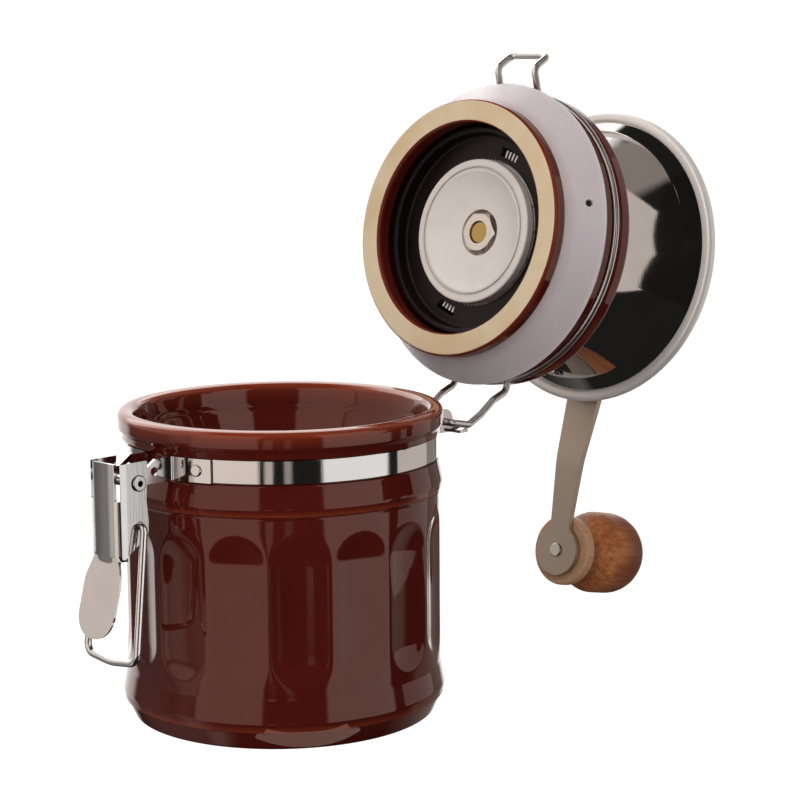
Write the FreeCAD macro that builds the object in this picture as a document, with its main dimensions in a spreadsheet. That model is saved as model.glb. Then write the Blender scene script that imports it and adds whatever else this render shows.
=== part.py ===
import FreeCAD, Part
import math
import os
import Sketcher

# A hand-cranked coffee grinder built on a ceramic canister. The jar stands on the ground with its
# axis upright. The mill is the jar's lid: it hangs on a wire hinge at +X and is held by a toggle
# latch at -X. The lid is drawn closed, in a frame of its own whose origin is the middle of its
# unglazed foot ring, and then swung open about the hinge. All lengths are millimetres.

Vector = FreeCAD.Vector
Rotation = FreeCAD.Rotation
Placement = FreeCAD.Placement
Rule = Sketcher.Constraint

DIMENSIONS = {
    # Jar
    "jar_height": 101.2,
    "rim_radius": 53.0,
    "rim_wall": 5.0,
    "rim_bead": 9.0,
    "neck_inset": 2.1,
    "shoulder_inset": 0.2,
    "shoulder_height": 10.0,
    "body_inset": 1.2,
    "jar_wall": 10.6,
    "jar_floor": 16.0,
    "belly_stand": 0.1,
    "belly_height": 9.0,
    "foot_inset": 3.6,
    "foot_height": 5.8,
    "foot_ring_width": 8.0,
    "foot_recess": 1.2,
    "mouth_depth": 8.4,
    "mouth_slope": 12.0,
    "mouth_round": 10.0,
    "flute_count": 16,
    "flute_depth": 1.8,
    "flute_round": 40.0,
    "flute_end": 9.0,
    "flute_bottom": 20.5,
    "flute_top": 67.0,
    "flute_turn": 8.0,
    # Band round the neck
    "band_bottom": 84.6,
    "band_height": 7.4,
    "band_sheet": 0.6,
    "band_gap": 10.5,
    "rivet_radius": 1.2,
    "rivet_head_radius": 1.9,
    "metal_gap": 0.05,
    # Latch
    "latch_stand": 13.8,
    "latch_height": 85.8,
    "leg_sheet": 0.9,
    "leg_spread": 6.5,
    "leg_turn": 22.5,
    "leg_rivet_turn": 17.0,
    "leg_end": 3.4,
    "leg_slope_back": 7.8,
    "leg_hole_back": 7.4,
    "leg_hole_radius": 1.4,
    "latch_pin_radius": 1.7,
    "latch_pin_bore": 1.0,
    "rivet_head": 0.6,
    "lever_sheet": 0.8,
    "lever_gap": 0.5,
    "lever_face": 7.4,
    "lever_top": 6.4,
    "slot_depth": 5.0,
    "ear_back": 3.6,
    "ear_waist_round": 12.0,
    "ear_bottom": 22.0,
    "tongue_start": 24.4,
    "tongue_length": 23.8,
    "tongue_angle": 15.0,
    "tongue_round": 7.6,
    "tongue_flare": 0.6,
    "tongue_shoulder": 5.0,
    "shoulder_round": 12.0,
    "tongue_bend": 4.0,
    "fold_round": 2.6,
    "lobe_wall": 2.0,
    "bail_drop": 13.2,
    "bail_wire": 1.15,
    "bail_play": 0.25,
    "bail_length": 42.0,
    "bail_spread": 9.9,
    "bail_flare": 2.2,
    "bail_bow": 1.5,
    "bail_hook_bend": 2.0,
    "bail_corner": 3.6,
    "bail_bow_round": 24.0,
    "bail_tilt": 8.4,
    "running_gap": 0.06,
    # Hinge
    "hinge_stand": 14.4,
    "hinge_height": 88.0,
    "open_angle": 101.9,
    "seat_height": 91.0,
    "bracket_sheet": 1.0,
    "bracket_spread": 9.0,
    "bracket_turn": 17.5,
    "hinge_rivet_turn": 14.3,
    "bracket_eye": 4.4,
    "stop_width": 4.6,
    "stop_reach": 8.2,
    # Lid
    "collar_inset": 7.8,
    "collar_bore": 37.1,
    "collar_wall": 3.2,
    "seal_start": 4.6,
    "seal_end": 17.6,
    "seat_inset": 2.0,
    "seal_inset": 0.3,
    "seal_stand": 1.0,
    "seal_skin": 1.8,
    "vent_radius": 1.1,
    "vent_level": 12.0,
    "vent_turn": -104.5,
    "lip_inset": 0.7,
    "lip_bottom": 18.2,
    "wire_level": 24.3,
    "wire_radius": 1.25,
    "ring_inset": 0.8,
    "flange_inset": 0.6,
    "flange_top": 32.3,
    "flange_round": 2.2,
    "lid_web": 4.6,
    "hollow_inset": 6.4,
    "lid_throat": 24.0,
    "catch_reach": 65.4,
    "catch_spread": 8.6,
    "catch_dip": 4.2,
    "catch_lift": 2.6,
    "leg_track": 12.4,
    "knee_out": 6.3,
    "knee_drop": 6.3,
    "shin_in": 4.0,
    "shin_drop": 17.3,
    "wire_bend": 3.0,
    "pin_reach": 8.2,
    "pin_bend": 2.2,
    # Hopper
    "gasket_sheet": 0.8,
    "hopper_sheet": 0.5,
    "hopper_base": 40.6,
    "hopper_throat": 20.5,
    "hopper_corner": 4.0,
    "hopper_waist": 44.8,
    "step_level": 68.8,
    "step_rise": 2.2,
    "step_radius": 46.4,
    "bead_radius": 2.1,
    "bead_ring": 51.9,
    "bead_level": 77.8,
    "bridge_level": 74.0,
    "bridge_sheet": 1.4,
    "bridge_width": 14.0,
    "bridge_tab": 11.0,
    "bridge_rivet": 1.5,
    "bush_radius": 6.0,
    "bush_flange": 8.2,
    "bush_lip": 1.4,
    "bush_length": 5.0,
    "plate_sheet": 1.2,
    "plate_radius": 36.9,
    "plate_ring": 30.5,
    "spoke_width": 5.0,
    "hub_radius": 9.0,
    "hub_height": 9.0,
    "spring_pocket": 7.3,
    "pocket_depth": 4.0,
    "lower_bush_radius": 6.2,
    "screw_circle": 33.9,
    "screw_radius": 1.75,
    "screw_head": 3.1,
    "screw_head_height": 2.4,
    "screw_length": 16.0,
    "screw_gap": 0.1,
    # Burrs and their housing
    "housing_radius": 36.8,
    "housing_wall": 2.4,
    "housing_bottom": 7.0,
    "housing_shelf": 12.0,
    "shelf_sheet": 2.0,
    "boss_radius": 2.8,
    "cover_sheet": 2.8,
    "cover_throat": 17.5,
    "window_inner": 27.7,
    "window_outer": 31.0,
    "window_half": 8.5,
    "window_turn": 20.0,
    "ring_radius": 30.2,
    "ring_flange": 4.0,
    "ring_neck": 23.5,
    "burr_gap": 1.0,
    "burr_radius": 25.4,
    "disc_gap": 0.8,
    "burr_face": 8.7,
    "burr_disc_top": 12.3,
    "burr_rim": 22.4,
    "rim_line": 0.6,
    "burr_rim_width": 0.9,
    "burr_dish": 4.2,
    "nut_recess": 4.4,
    "nut_pocket": 8.2,
    "dish_round": 30.0,
    "cone_radius": 23.0,
    "cone_top_radius": 12.3,
    "cone_top": 26.2,
    "tooth_count": 16,
    "tooth_depth": 2.0,
    "tooth_half": 7.0,
    "tooth_skew": 24.0,
    "grind_travel": 0.8,
    "nut_flats": 13.0,
    "nut_height": 5.2,
    "shaft_radius": 4.0,
    "shaft_recess": 0.6,
    "square_width": 5.6,
    "stud_radius": 2.9,
    "washer_radius": 7.0,
    "washer_sheet": 0.8,
    "spring_wire": 0.55,
    "spring_radius": 6.2,
    "spring_turns": 4.5,
    # Grind adjuster, crank and knob
    "adjust_radius": 9.0,
    "adjust_height": 5.6,
    "adjust_notches": 18,
    "notch_radius": 0.8,
    "lock_radius": 8.0,
    "lock_sheet": 1.2,
    "arm_sheet": 2.4,
    "arm_reach": 110.0,
    "arm_hub": 8.5,
    "arm_waist": 14.5,
    "arm_waist_reach": 53.0,
    "arm_neck": 8.4,
    "arm_eye": 9.4,
    "arm_drop": 5.6,
    "arm_slope_start": 38.0,
    "arm_slope_end": 76.0,
    "arm_round": 40.0,
    "cap_flats": 10.0,
    "cap_hex": 4.4,
    "cap_dome": 4.4,
    "knob_pin_radius": 1.9,
    "knob_pin_head": 2.6,
    "pin_collar": 3.2,
    "pin_collar_height": 1.5,
    "pin_depth": 24.0,
    "chamber_start": 5.0,
    "knob_gap": 0.5,
    "knob_collar": 13.0,
    "knob_collar_height": 4.2,
    "knob_waist": 8.6,
    "knob_ball": 15.3,
    "knob_rise": 11.5,
    "knob_shoulder": 7.0,
    "knob_length": 38.6,
    "face_gap": 0.2,
}


class Size:
    """A number kept together with the sheet expression that gives it."""

    def __init__(self, number, words):
        self.number = number
        self.words = words

    def joined(self, other, sign, first=True):
        left, right = (self, as_size(other)) if first else (as_size(other), self)
        results = {
            "+": lambda a, b: a + b,
            "-": lambda a, b: a - b,
            "*": lambda a, b: a * b,
            "/": lambda a, b: a / b,
        }
        return Size(results[sign](left.number, right.number), "(%s %s %s)" % (left.words, sign, right.words))

    def __add__(self, other):
        return self.joined(other, "+")

    def __radd__(self, other):
        return self.joined(other, "+", False)

    def __sub__(self, other):
        return self.joined(other, "-")

    def __rsub__(self, other):
        return self.joined(other, "-", False)

    def __mul__(self, other):
        return self.joined(other, "*")

    def __rmul__(self, other):
        return self.joined(other, "*", False)

    def __truediv__(self, other):
        return self.joined(other, "/")

    def __neg__(self):
        return Size(-self.number, "(0 - %s)" % self.words)

    def __float__(self):
        return float(self.number)


def as_size(item):
    return item if isinstance(item, Size) else Size(float(item), "%.10g" % item)


def sine(angle):
    return Size(math.sin(math.radians(float(angle))), "sin(%s * 1 deg)" % angle.words)


def cosine(angle):
    return Size(math.cos(math.radians(float(angle))), "cos(%s * 1 deg)" % angle.words)


def root(size):
    return Size(math.sqrt(float(size)), "sqrt(%s)" % size.words)


class Sheet:
    """The spreadsheet of driving dimensions; an attribute is the Size of the cell with that alias."""

    def __init__(self, doc, values):
        self.values = values
        cells = doc.addObject("Spreadsheet::Sheet", "dims")
        for row, (alias, value) in enumerate(values.items(), start=1):
            cells.set("A%d" % row, alias)
            cells.set("B%d" % row, "%.10g" % value)
            cells.setAlias("B%d" % row, alias)

    def __getattr__(self, alias):
        return Size(float(self.values[alias]), "dims." + alias)


doc = FreeCAD.newDocument("coffee_grinder")
d = Sheet(doc, DIMENSIONS)
doc.recompute()
nodes = {}


# Radii and reaches, all taken from the jar's rim

def neck_radius():
    return d.rim_radius - d.neck_inset


def shoulder_radius():
    return d.rim_radius - d.shoulder_inset


def jar_radius():
    return d.rim_radius - d.body_inset


def belly_radius():
    return d.rim_radius + d.belly_stand


def foot_radius():
    return d.rim_radius - d.foot_inset


def latch_reach():
    return d.rim_radius + d.latch_stand


def hinge_reach():
    return d.rim_radius + d.hinge_stand


def flange_radius():
    return d.rim_radius - d.flange_inset


def lip_radius():
    return flange_radius() - d.lip_inset


def wire_ring():
    return flange_radius() - d.ring_inset


def lid_hollow():
    return flange_radius() - d.hollow_inset


def collar_radius():
    return d.rim_radius - d.collar_inset


def seal_seat():
    return collar_radius() - d.seat_inset


def seal_front():
    return collar_radius() - d.seal_inset


def seal_back():
    return d.rim_radius + d.seal_stand


# Building blocks

def bind(item, name, size):
    """Give a property its value and bind it to the sheet."""
    size = as_size(size)
    if "." not in name:
        setattr(item, name, size.number)
    item.setExpression(name, size.words)


def node(item, name):
    """Register a finished sub-part under its node name."""
    item.Label = name
    nodes[name] = item
    return item


def new_body(name):
    return doc.addObject("PartDesign::Body", name)


def place(item, across=0, along=0, up=0, axis=Vector(0, 0, 1), angle=0):
    """Place a sub-part by sizes: a shift, and a turn about an axis through its own origin."""
    across, along, up, angle = (as_size(value) for value in (across, along, up, angle))
    item.Placement = Placement(Vector(float(across), float(along), float(up)), Rotation(axis, float(angle)))
    for name, size in (("x", across), ("y", along), ("z", up)):
        item.setExpression("Placement.Base." + name, size.words)
    if float(angle):
        item.setExpression("Placement.Rotation.Angle", in_degrees(angle))


def in_degrees(angle):
    return "%s * 1 deg" % angle.words


# Sketches

def rounded(across, up, radius):
    """A corner rounded by an arc that is tangent to both its sides."""
    return (across, up, "round", radius)


def left_arc(across, up, radius):
    """A corner from which an arc runs to the next one, turning left."""
    return (across, up, "left", radius)


def right_arc(across, up, radius):
    """A corner from which an arc runs to the next one, turning right."""
    return (across, up, "right", radius)


def arc_centre(start, end, radius, turn):
    half = (end - start) * 0.5
    side = Vector(-half.y, half.x, 0) * (1 if turn == "left" else -1)
    reach = math.sqrt(max(radius * radius - half.Length ** 2, 0.0))
    return start + half + side.normalize() * reach


def arc_between(start, end, centre, turn):
    """The arc of a circle from start to end; a right turn is the same arc drawn from end to start."""
    first, last = (start, end) if turn == "left" else (end, start)
    circle = Part.Circle(centre, Vector(0, 0, 1), (start - centre).Length)
    angles = [math.atan2(point.y - centre.y, point.x - centre.x) for point in (first, last)]
    if angles[1] < angles[0]:
        angles[1] += 2 * math.pi
    return Part.ArcOfCircle(circle, angles[0], angles[1])


def ends(turn):
    """Which end of a segment comes first: a right arc is stored back to front."""
    return (2, 1) if turn == "right" else (1, 2)


def fix_point(rules, geometry, end, across, up):
    """Hold a point of the sketch at its distances from the origin."""
    for kind, size, axis in (("DistanceX", across, -2), ("DistanceY", up, -1)):
        size = as_size(size)
        if size.words == "0":
            rules.append((Rule("PointOnObject", geometry, end, axis), None))
        else:
            rules.append((Rule(kind, -1, 1, geometry, end, size.number), size))


def draw(body, plane, corners, name, level=0, holes=(), axis=None, lying=False, turn=0):
    """Sketch a closed outline, round holes and an axis line on an origin plane.

    The plane can be moved along its normal (level) and turned about the upright axis (turn). The
    axis line stands at a distance from the origin, or lies at a height.
    """
    sketch = body.newObject("Sketcher::SketchObject", name)
    support = [feature for feature in body.Origin.OriginFeatures if feature.Role == plane + "_Plane"][0]
    sketch.AttachmentSupport = [(support, "")]
    sketch.MapMode = "FlatFace"
    level = as_size(level)
    turn = as_size(turn)
    sketch.AttachmentOffset = Placement(Vector(0, 0, level.number), Rotation(Vector(0, 1, 0), turn.number))
    if level.words != "0":
        sketch.setExpression("AttachmentOffset.Base.z", level.words)
    if turn.words != "0":
        sketch.setExpression("AttachmentOffset.Rotation.Angle", in_degrees(turn))
    rules = []
    count = len(corners)
    points = [Vector(float(corner[0]), float(corner[1]), 0) for corner in corners]
    kinds = [corner[2] if len(corner) > 2 else "line" for corner in corners]
    incoming = list(points)
    outgoing = list(points)
    arcs = {}
    for index, kind in enumerate(kinds):
        if kind != "round":
            continue
        back = (points[index - 1] - points[index]).normalize()
        ahead = (points[(index + 1) % count] - points[index]).normalize()
        opening = back.getAngle(ahead)
        radius = float(corners[index][3])
        inset = radius / math.tan(opening / 2)
        incoming[index] = points[index] + back * inset
        outgoing[index] = points[index] + ahead * inset
        turn = "left" if back.cross(ahead).z < 0 else "right"
        middle = points[index] + (back + ahead).normalize() * (radius / math.sin(opening / 2))
        arcs[index] = (turn, middle)
    segments = []
    for index in range(count):
        start = outgoing[index]
        end = incoming[(index + 1) % count]
        if kinds[index] in ("left", "right"):
            centre = arc_centre(start, end, float(corners[index][3]), kinds[index])
            segments.append(arc_between(start, end, centre, kinds[index]))
        else:
            segments.append(Part.LineSegment(start, end))
    if segments:
        sketch.addGeometry(segments, False)
    fillets = {}
    for index, (turn, middle) in arcs.items():
        fillets[index] = sketch.addGeometry(arc_between(incoming[index], outgoing[index], middle, turn), False)
    for index, corner in enumerate(corners):
        before = (index - 1) % count
        last = ends(kinds[before])[1]
        first = ends(kinds[index])[0]
        if kinds[index] == "round":
            turn = arcs[index][0]
            point = sketch.addGeometry(Part.Point(points[index]), True)
            fix_point(rules, point, 1, corner[0], corner[1])
            rules.append((Rule("PointOnObject", point, 1, before), None))
            rules.append((Rule("PointOnObject", point, 1, index), None))
            rules.append((Rule("Tangent", before, last, fillets[index], ends(turn)[0]), None))
            rules.append((Rule("Tangent", fillets[index], ends(turn)[1], index, first), None))
            rules.append((Rule("Radius", fillets[index], float(corner[3])), as_size(corner[3])))
        else:
            rules.append((Rule("Coincident", before, last, index, first), None))
            fix_point(rules, index, first, corner[0], corner[1])
        if kinds[index] in ("left", "right"):
            rules.append((Rule("Radius", index, float(corner[3])), as_size(corner[3])))
    for across, up, radius in holes:
        circle = Part.Circle(Vector(float(across), float(up), 0), Vector(0, 0, 1), float(radius))
        index = sketch.addGeometry(circle, False)
        fix_point(rules, index, 3, across, up)
        rules.append((Rule("Radius", index, float(radius)), as_size(radius)))
    if axis is not None:
        along = Vector(10, 0, 0) if lying else Vector(0, 10, 0)
        start = Vector(0, float(axis), 0) if lying else Vector(float(axis), 0, 0)
        index = sketch.addGeometry(Part.LineSegment(start, start + along), True)
        fix_point(rules, index, 1, *((0, axis) if lying else (axis, 0)))
        rules.append((Rule("Horizontal" if lying else "Vertical", index), None))
        rules.append((Rule("DistanceX" if lying else "DistanceY", index, 1, index, 2, along.Length), None))
    added = sketch.addConstraint([rule for rule, size in rules])
    for index, (rule, size) in zip(added, rules):
        if size is not None and "dims." in size.words:
            sketch.setExpression("Constraints[%d]" % index, size.words)
    return sketch


def revolve(body, sketch, name, axis="V_Axis", kind="Revolution", angle=360):
    """Turn a sketch about its upright axis, adding or (as a Groove) cutting."""
    feature = body.newObject("PartDesign::" + kind, name)
    feature.Profile = sketch
    feature.ReferenceAxis = (sketch, [axis])
    if isinstance(angle, Size):
        bind(feature, "Angle", angle)
        feature.Midplane = True
    else:
        feature.Angle = angle
    return feature


def pad(body, sketch, name, length, symmetric=False, reverse=False):
    feature = body.newObject("PartDesign::Pad", name)
    feature.Profile = sketch
    bind(feature, "Length", length)
    feature.SideType = "Symmetric" if symmetric else "One side"
    feature.Reversed = reverse
    return feature


def pocket(body, sketch, name, length=None, symmetric=False, reverse=False, one_way=False):
    """Cut a sketch out of a body, all the way through where no length is given."""
    feature = body.newObject("PartDesign::Pocket", name)
    feature.Profile = sketch
    if length is None:
        feature.Type = "ThroughAll"
        feature.Type2 = "ThroughAll"
        feature.SideType = "One side" if one_way else "Two sides"
    else:
        bind(feature, "Length", length)
        feature.SideType = "Symmetric" if symmetric else "One side"
    feature.Reversed = reverse
    return feature


def around(body, feature, name, count):
    """Repeat a feature in a full circle about the body's upright axis."""
    pattern = body.newObject("PartDesign::PolarPattern", name)
    pattern.Originals = [feature]
    upright = [item for item in body.Origin.OriginFeatures if item.Role == "Z_Axis"][0]
    pattern.Axis = (upright, [""])
    pattern.Angle = 360
    pattern.Occurrences = int(float(count))
    pattern.setExpression("Occurrences", count.words if isinstance(count, Size) else str(count))
    body.Tip = pattern
    return pattern


def fillet(body, feature, name, radius, chosen):
    """Round the edges of a feature for which chosen(middle of edge, edge) holds."""
    doc.recompute()
    names = []
    for index, edge in enumerate(feature.Shape.Edges, start=1):
        middle = edge.valueAt((edge.FirstParameter + edge.LastParameter) / 2)
        if chosen(middle, edge):
            names.append("Edge%d" % index)
    rounding = body.newObject("PartDesign::Fillet", name)
    rounding.Base = (feature, names)
    bind(rounding, "Radius", radius)
    return rounding


def shaped(name, shape):
    """A sub-part whose shape is worked out here, for forms that no sketch on a flat plane gives."""
    item = doc.addObject("Part::Feature", name)
    item.Shape = shape
    return item


# Bent wire: straight runs joined by tangent arcs

def bent_wire(points, bends, radius):
    """The solid of a round wire along straight runs, with a tangent arc at every inner point."""
    edges = []
    start = points[0]
    for before, corner, after, bend in zip(points, points[1:], points[2:], bends):
        bend = float(bend)
        back = (before - corner).normalize()
        ahead = (after - corner).normalize()
        opening = back.getAngle(ahead)
        inset = bend / math.tan(opening / 2)
        first = corner + back * inset
        last = corner + ahead * inset
        middle = corner + (back + ahead).normalize() * (bend / math.sin(opening / 2) - bend)
        edges.append(Part.LineSegment(start, first).toShape())
        edges.append(Part.Arc(first, middle, last).toShape())
        start = last
    edges.append(Part.LineSegment(start, points[-1]).toShape())
    path = Part.Wire(edges)
    section = Part.Wire([Part.Circle(points[0], points[1] - points[0], radius).toShape()])
    tube = path.makePipeShell([section], True, False)
    expected = math.pi * radius ** 2 * path.Length
    if abs(tube.Volume - expected) > 0.01 * expected:
        raise ValueError("bent wire has volume %.3f, not %.3f" % (tube.Volume, expected))
    return tube


def rivet(name, radius, length, head, head_height, bore=None):
    """A rivet along its own upright axis, centred, with a low head at each end."""
    body = new_body(name)
    half = length / 2
    top = half + head_height
    inner = 0 if bore is None else bore
    corners = [
        (inner, -top),
        rounded(head, -top, head_height * 0.7),
        (head, -half),
        (radius, -half),
        (radius, half),
        (head, half),
        rounded(head, top, head_height * 0.7),
        (inner, top),
    ]
    revolve(body, draw(body, "XZ", corners, name + "_outline"), name + "_turned")
    return body


# Jar

def make_jar():
    """The canister: a turned form with rounded flutes cut round its side."""
    body = new_body("jar")
    band_top = d.band_bottom + d.band_height
    rim_round = d.rim_wall / 2
    mouth = d.rim_radius - d.rim_wall
    inside = jar_radius() - d.jar_wall
    shoulder_bottom = d.band_bottom - d.shoulder_height
    corners = [
        (0, d.foot_recess),
        rounded(foot_radius() - d.foot_ring_width, d.foot_recess, 0.5),
        (foot_radius() - d.foot_ring_width + 0.4, 0),
        rounded(foot_radius(), 0, 1.2),
        (belly_radius() - 1.1, d.foot_height),
        rounded(belly_radius() - 0.4, d.foot_height + 0.4, 0.3),
        rounded(belly_radius(), d.belly_height, 2.0),
        rounded(jar_radius(), d.belly_height + 7.5, 6.0),
        (jar_radius(), shoulder_bottom - 1.4),
        rounded(jar_radius() - 0.4, shoulder_bottom - 0.7, 0.4),
        rounded(shoulder_radius() - 0.3, shoulder_bottom, 0.4),
        rounded(shoulder_radius(), shoulder_bottom + 2.4, 3.0),
        rounded(neck_radius() + 0.4, d.band_bottom - 0.3, 1.0),
        (neck_radius(), d.band_bottom - 0.3),
        (neck_radius(), band_top + 0.3),
        (neck_radius() + 1.0, band_top + 0.3),
        rounded(d.rim_radius - 0.8, d.jar_height - d.rim_bead + 2.0, 1.2),
        rounded(d.rim_radius, d.jar_height - d.rim_bead + 3.2, 1.6),
        rounded(d.rim_radius, d.jar_height, rim_round - 0.02),
        rounded(mouth, d.jar_height, rim_round - 0.02),
        rounded(mouth, d.jar_height - d.mouth_depth, 6.0),
        rounded(inside, d.jar_height - d.mouth_depth - d.mouth_slope, d.mouth_round),
        rounded(inside, d.jar_floor, 6.0),
        (0, d.jar_floor),
    ]
    revolve(body, draw(body, "XZ", corners, "jar_outline"), "jar_turned")
    deep = jar_radius() - d.flute_depth
    end_round = (d.flute_end * d.flute_end + d.flute_depth * d.flute_depth) / (2 * d.flute_depth)
    axis = deep + d.flute_round
    flute = draw(body, "XZ", [
        (axis, d.flute_bottom),
        right_arc(jar_radius(), d.flute_bottom, end_round),
        (deep, d.flute_bottom + d.flute_end),
        right_arc(deep, d.flute_top - d.flute_end, end_round),
        (jar_radius(), d.flute_top),
        (axis, d.flute_top),
    ], "flute_outline", axis=axis)
    groove = revolve(body, flute, "flute", axis="Axis0", kind="Groove")
    around(body, groove, "flutes", d.flute_count)
    place(body, angle=d.flute_turn)
    return node(body, "jar")


# Band and hinge bracket on the neck

def band_outer():
    return neck_radius() + d.metal_gap + d.band_sheet


def band_top():
    return d.band_bottom + d.band_height


def radial_hole(body, name, turn, level, radius):
    """Drill outward from the jar's axis, in the direction turned by an angle from +X."""
    sketch = draw(body, "YZ", [], name + "_circle", holes=[(0, level, radius)], turn=turn)
    return pocket(body, sketch, name, one_way=True, reverse=True)


def button_rivet(name, start, seat, radius, head, head_height, level, turn):
    """A rivet that points away from the jar's axis, with a domed head outside."""
    body = new_body(name)
    corners = [
        (start, 0),
        (seat + head_height, 0),
        rounded(seat + head_height, head, head_height * 0.8),
        (seat, head),
        (seat, radius),
        (start, radius),
    ]
    revolve(body, draw(body, "XZ", corners, name + "_outline"), name + "_turned", axis="H_Axis")
    place(body, up=level, angle=turn)
    return body


def joined(name, bodies):
    """Several separate solids that make one node."""
    compound = doc.addObject("Part::Compound", name)
    compound.Links = bodies
    return node(compound, name)


def make_strap_band():
    """The band is open on the latch side, where the legs close it."""
    body = new_body("strap_band")
    inner = neck_radius() + d.metal_gap
    corners = [
        (inner, d.band_bottom),
        (band_outer(), d.band_bottom),
        (band_outer(), band_top()),
        (inner, band_top()),
    ]
    revolve(body, draw(body, "XZ", corners, "band_outline"), "band_turned", angle=360 - d.band_gap * 2)
    bore = d.rivet_radius + d.metal_gap
    for side in (-1, 1):
        radial_hole(body, "band_hinge_hole", side * d.hinge_rivet_turn, rivet_level(), bore)
        radial_hole(body, "band_leg_hole", 180 + side * d.leg_rivet_turn, rivet_level(), bore)
    return node(body, "strap_band")


def rivet_level():
    return d.band_bottom + d.band_height / 2


def stop_top():
    """Height at which the open lid's wire legs, sloping outward and down, meet their stops."""
    slope = d.open_angle - 90
    fall = d.stop_reach * sine(slope) / cosine(slope)
    return d.hinge_height - fall - d.wire_radius / cosine(slope) - d.metal_gap


def make_hinge_bracket():
    """A curved pad on the band with two ears and, at their lower ends, stops bent outward."""
    body = new_body("hinge_bracket")
    inner = band_outer() + d.metal_gap
    outer = inner + d.bracket_sheet
    corners = [
        (inner, d.band_bottom),
        (outer, d.band_bottom),
        (outer, band_top()),
        (inner, band_top()),
    ]
    pad_outline = draw(body, "XZ", corners, "bracket_pad_outline")
    revolve(body, pad_outline, "bracket_pad", angle=2 * d.bracket_turn)
    middle = (inner + outer) / 2
    root_reach = root(middle * middle - d.bracket_spread * d.bracket_spread)
    eye_end = hinge_reach() + d.bracket_eye
    ear = [
        (root_reach, d.band_bottom),
        (hinge_reach() + d.stop_reach, stop_top() - d.bracket_sheet),
        (hinge_reach() + d.stop_reach, stop_top()),
        rounded(eye_end, stop_top() + d.bracket_sheet, d.bracket_sheet),
        rounded(eye_end, d.hinge_height + d.bracket_eye, d.bracket_eye * 0.9),
        (root_reach, band_top()),
    ]
    hole = [(hinge_reach(), d.hinge_height, d.wire_radius + d.running_gap)]
    for side, level in (("near", d.bracket_spread), ("far", -(d.bracket_spread + d.bracket_sheet))):
        outline = draw(body, "XZ", ear, "ear_outline_" + side, level=level, holes=hole)
        pad(body, outline, "ear_" + side, d.bracket_sheet)
    edge = d.leg_track + d.wire_radius * 1.4
    inside = d.bracket_spread + d.bracket_sheet / 2
    for side in (-1, 1):
        tab = [
            (hinge_reach() + d.stop_reach - d.stop_width, side * inside),
            (hinge_reach() + d.stop_reach, side * inside),
            rounded(hinge_reach() + d.stop_reach, side * edge, 1),
            rounded(hinge_reach() + d.stop_reach - d.stop_width, side * edge, 1),
        ]
        outline = draw(body, "XY", tab, "stop_outline", level=stop_top() - d.bracket_sheet)
        pad(body, outline, "stop", d.bracket_sheet)
    for side in (-1, 1):
        radial_hole(body, "bracket_hole", side * d.hinge_rivet_turn, rivet_level(), d.rivet_radius + d.metal_gap)
    return node(body, "hinge_bracket")


def make_band_rivets():
    start = neck_radius() + 2 * d.metal_gap
    bracket_seat = band_outer() + 2 * d.metal_gap + d.bracket_sheet
    leg_seat = band_outer() + 2 * d.metal_gap + d.leg_sheet
    shape = (d.rivet_radius, d.rivet_head_radius, d.rivet_head)
    groups = (
        ("hinge_rivets", bracket_seat, 0, d.hinge_rivet_turn),
        ("leg_rivets", leg_seat, 180, d.leg_rivet_turn),
    )
    for name, seat, middle, turn in groups:
        rivets = []
        for side in (-1, 1):
            rivets.append(button_rivet(name[:-1], start, seat, *shape, rivet_level(), middle + side * turn))
        joined(name, rivets)


# Latch

def make_latch_leg(name, side):
    """A strip that lies on the band and turns outward to the lever's pivot."""
    body = new_body(name)
    inner = band_outer() + d.metal_gap
    outer = inner + d.leg_sheet
    inside = d.leg_spread - d.leg_sheet
    tip = -(latch_reach() + d.leg_end)
    end_along = sine(d.leg_turn) * side
    end_across = -cosine(d.leg_turn)
    to_leg, to_pad = (right_arc, left_arc) if side < 0 else (left_arc, right_arc)
    strip = [
        to_leg(inner * end_across, inner * end_along, inner),
        (-root(inner * inner - inside * inside), inside * side),
        (tip, inside * side),
        (tip, d.leg_spread * side),
        to_pad(-root(outer * outer - d.leg_spread * d.leg_spread), d.leg_spread * side, outer),
        (outer * end_across, outer * end_along),
    ]
    bottom = d.latch_height - d.leg_end
    outline = draw(body, "XY", strip, name + "_strip", level=bottom)
    bent = pad(body, outline, name + "_bent", band_top() - bottom)
    bend = -root(inner * inner - inside * inside)
    middle = (bottom + band_top()) / 2
    rounding = fillet(body, bent, name + "_bends", d.leg_sheet * 0.8, lambda point, edge: (
        abs(point.z - float(middle)) < 1 and abs(point.x - float(bend)) < 1.5
    ))
    body.Tip = rounding
    beyond = tip - 1
    above = [
        (d.leg_slope_back - latch_reach(), band_top()),
        (-latch_reach() + d.leg_end, d.latch_height + d.leg_end),
        left_arc(-latch_reach(), d.latch_height + d.leg_end, d.leg_end),
        (tip, d.latch_height),
        (beyond, d.latch_height),
        (beyond, band_top() + 1),
        (d.leg_slope_back - latch_reach(), band_top() + 1),
    ]
    below = [
        (beyond, d.latch_height),
        left_arc(tip, d.latch_height, d.leg_end),
        (-latch_reach(), bottom),
        (-latch_reach() + d.leg_end, d.band_bottom),
        (0, d.band_bottom),
        (0, bottom - 1),
        (beyond, bottom - 1),
    ]
    pocket(body, draw(body, "XZ", above, name + "_above"), name + "_top_cut")
    pocket(body, draw(body, "XZ", below, name + "_below"), name + "_bottom_cut")
    holes = [
        (-latch_reach(), d.latch_height, d.latch_pin_radius + d.metal_gap),
        (d.leg_hole_back - latch_reach(), rivet_level(), d.leg_hole_radius),
    ]
    for hole in holes:
        pocket(body, draw(body, "XZ", [], name + "_circle", holes=[hole]), name + "_hole")
    radial_hole(body, name + "_rivet_hole", 180 - side * d.leg_rivet_turn, rivet_level(), d.rivet_radius + d.metal_gap)
    return node(body, name)


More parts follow.
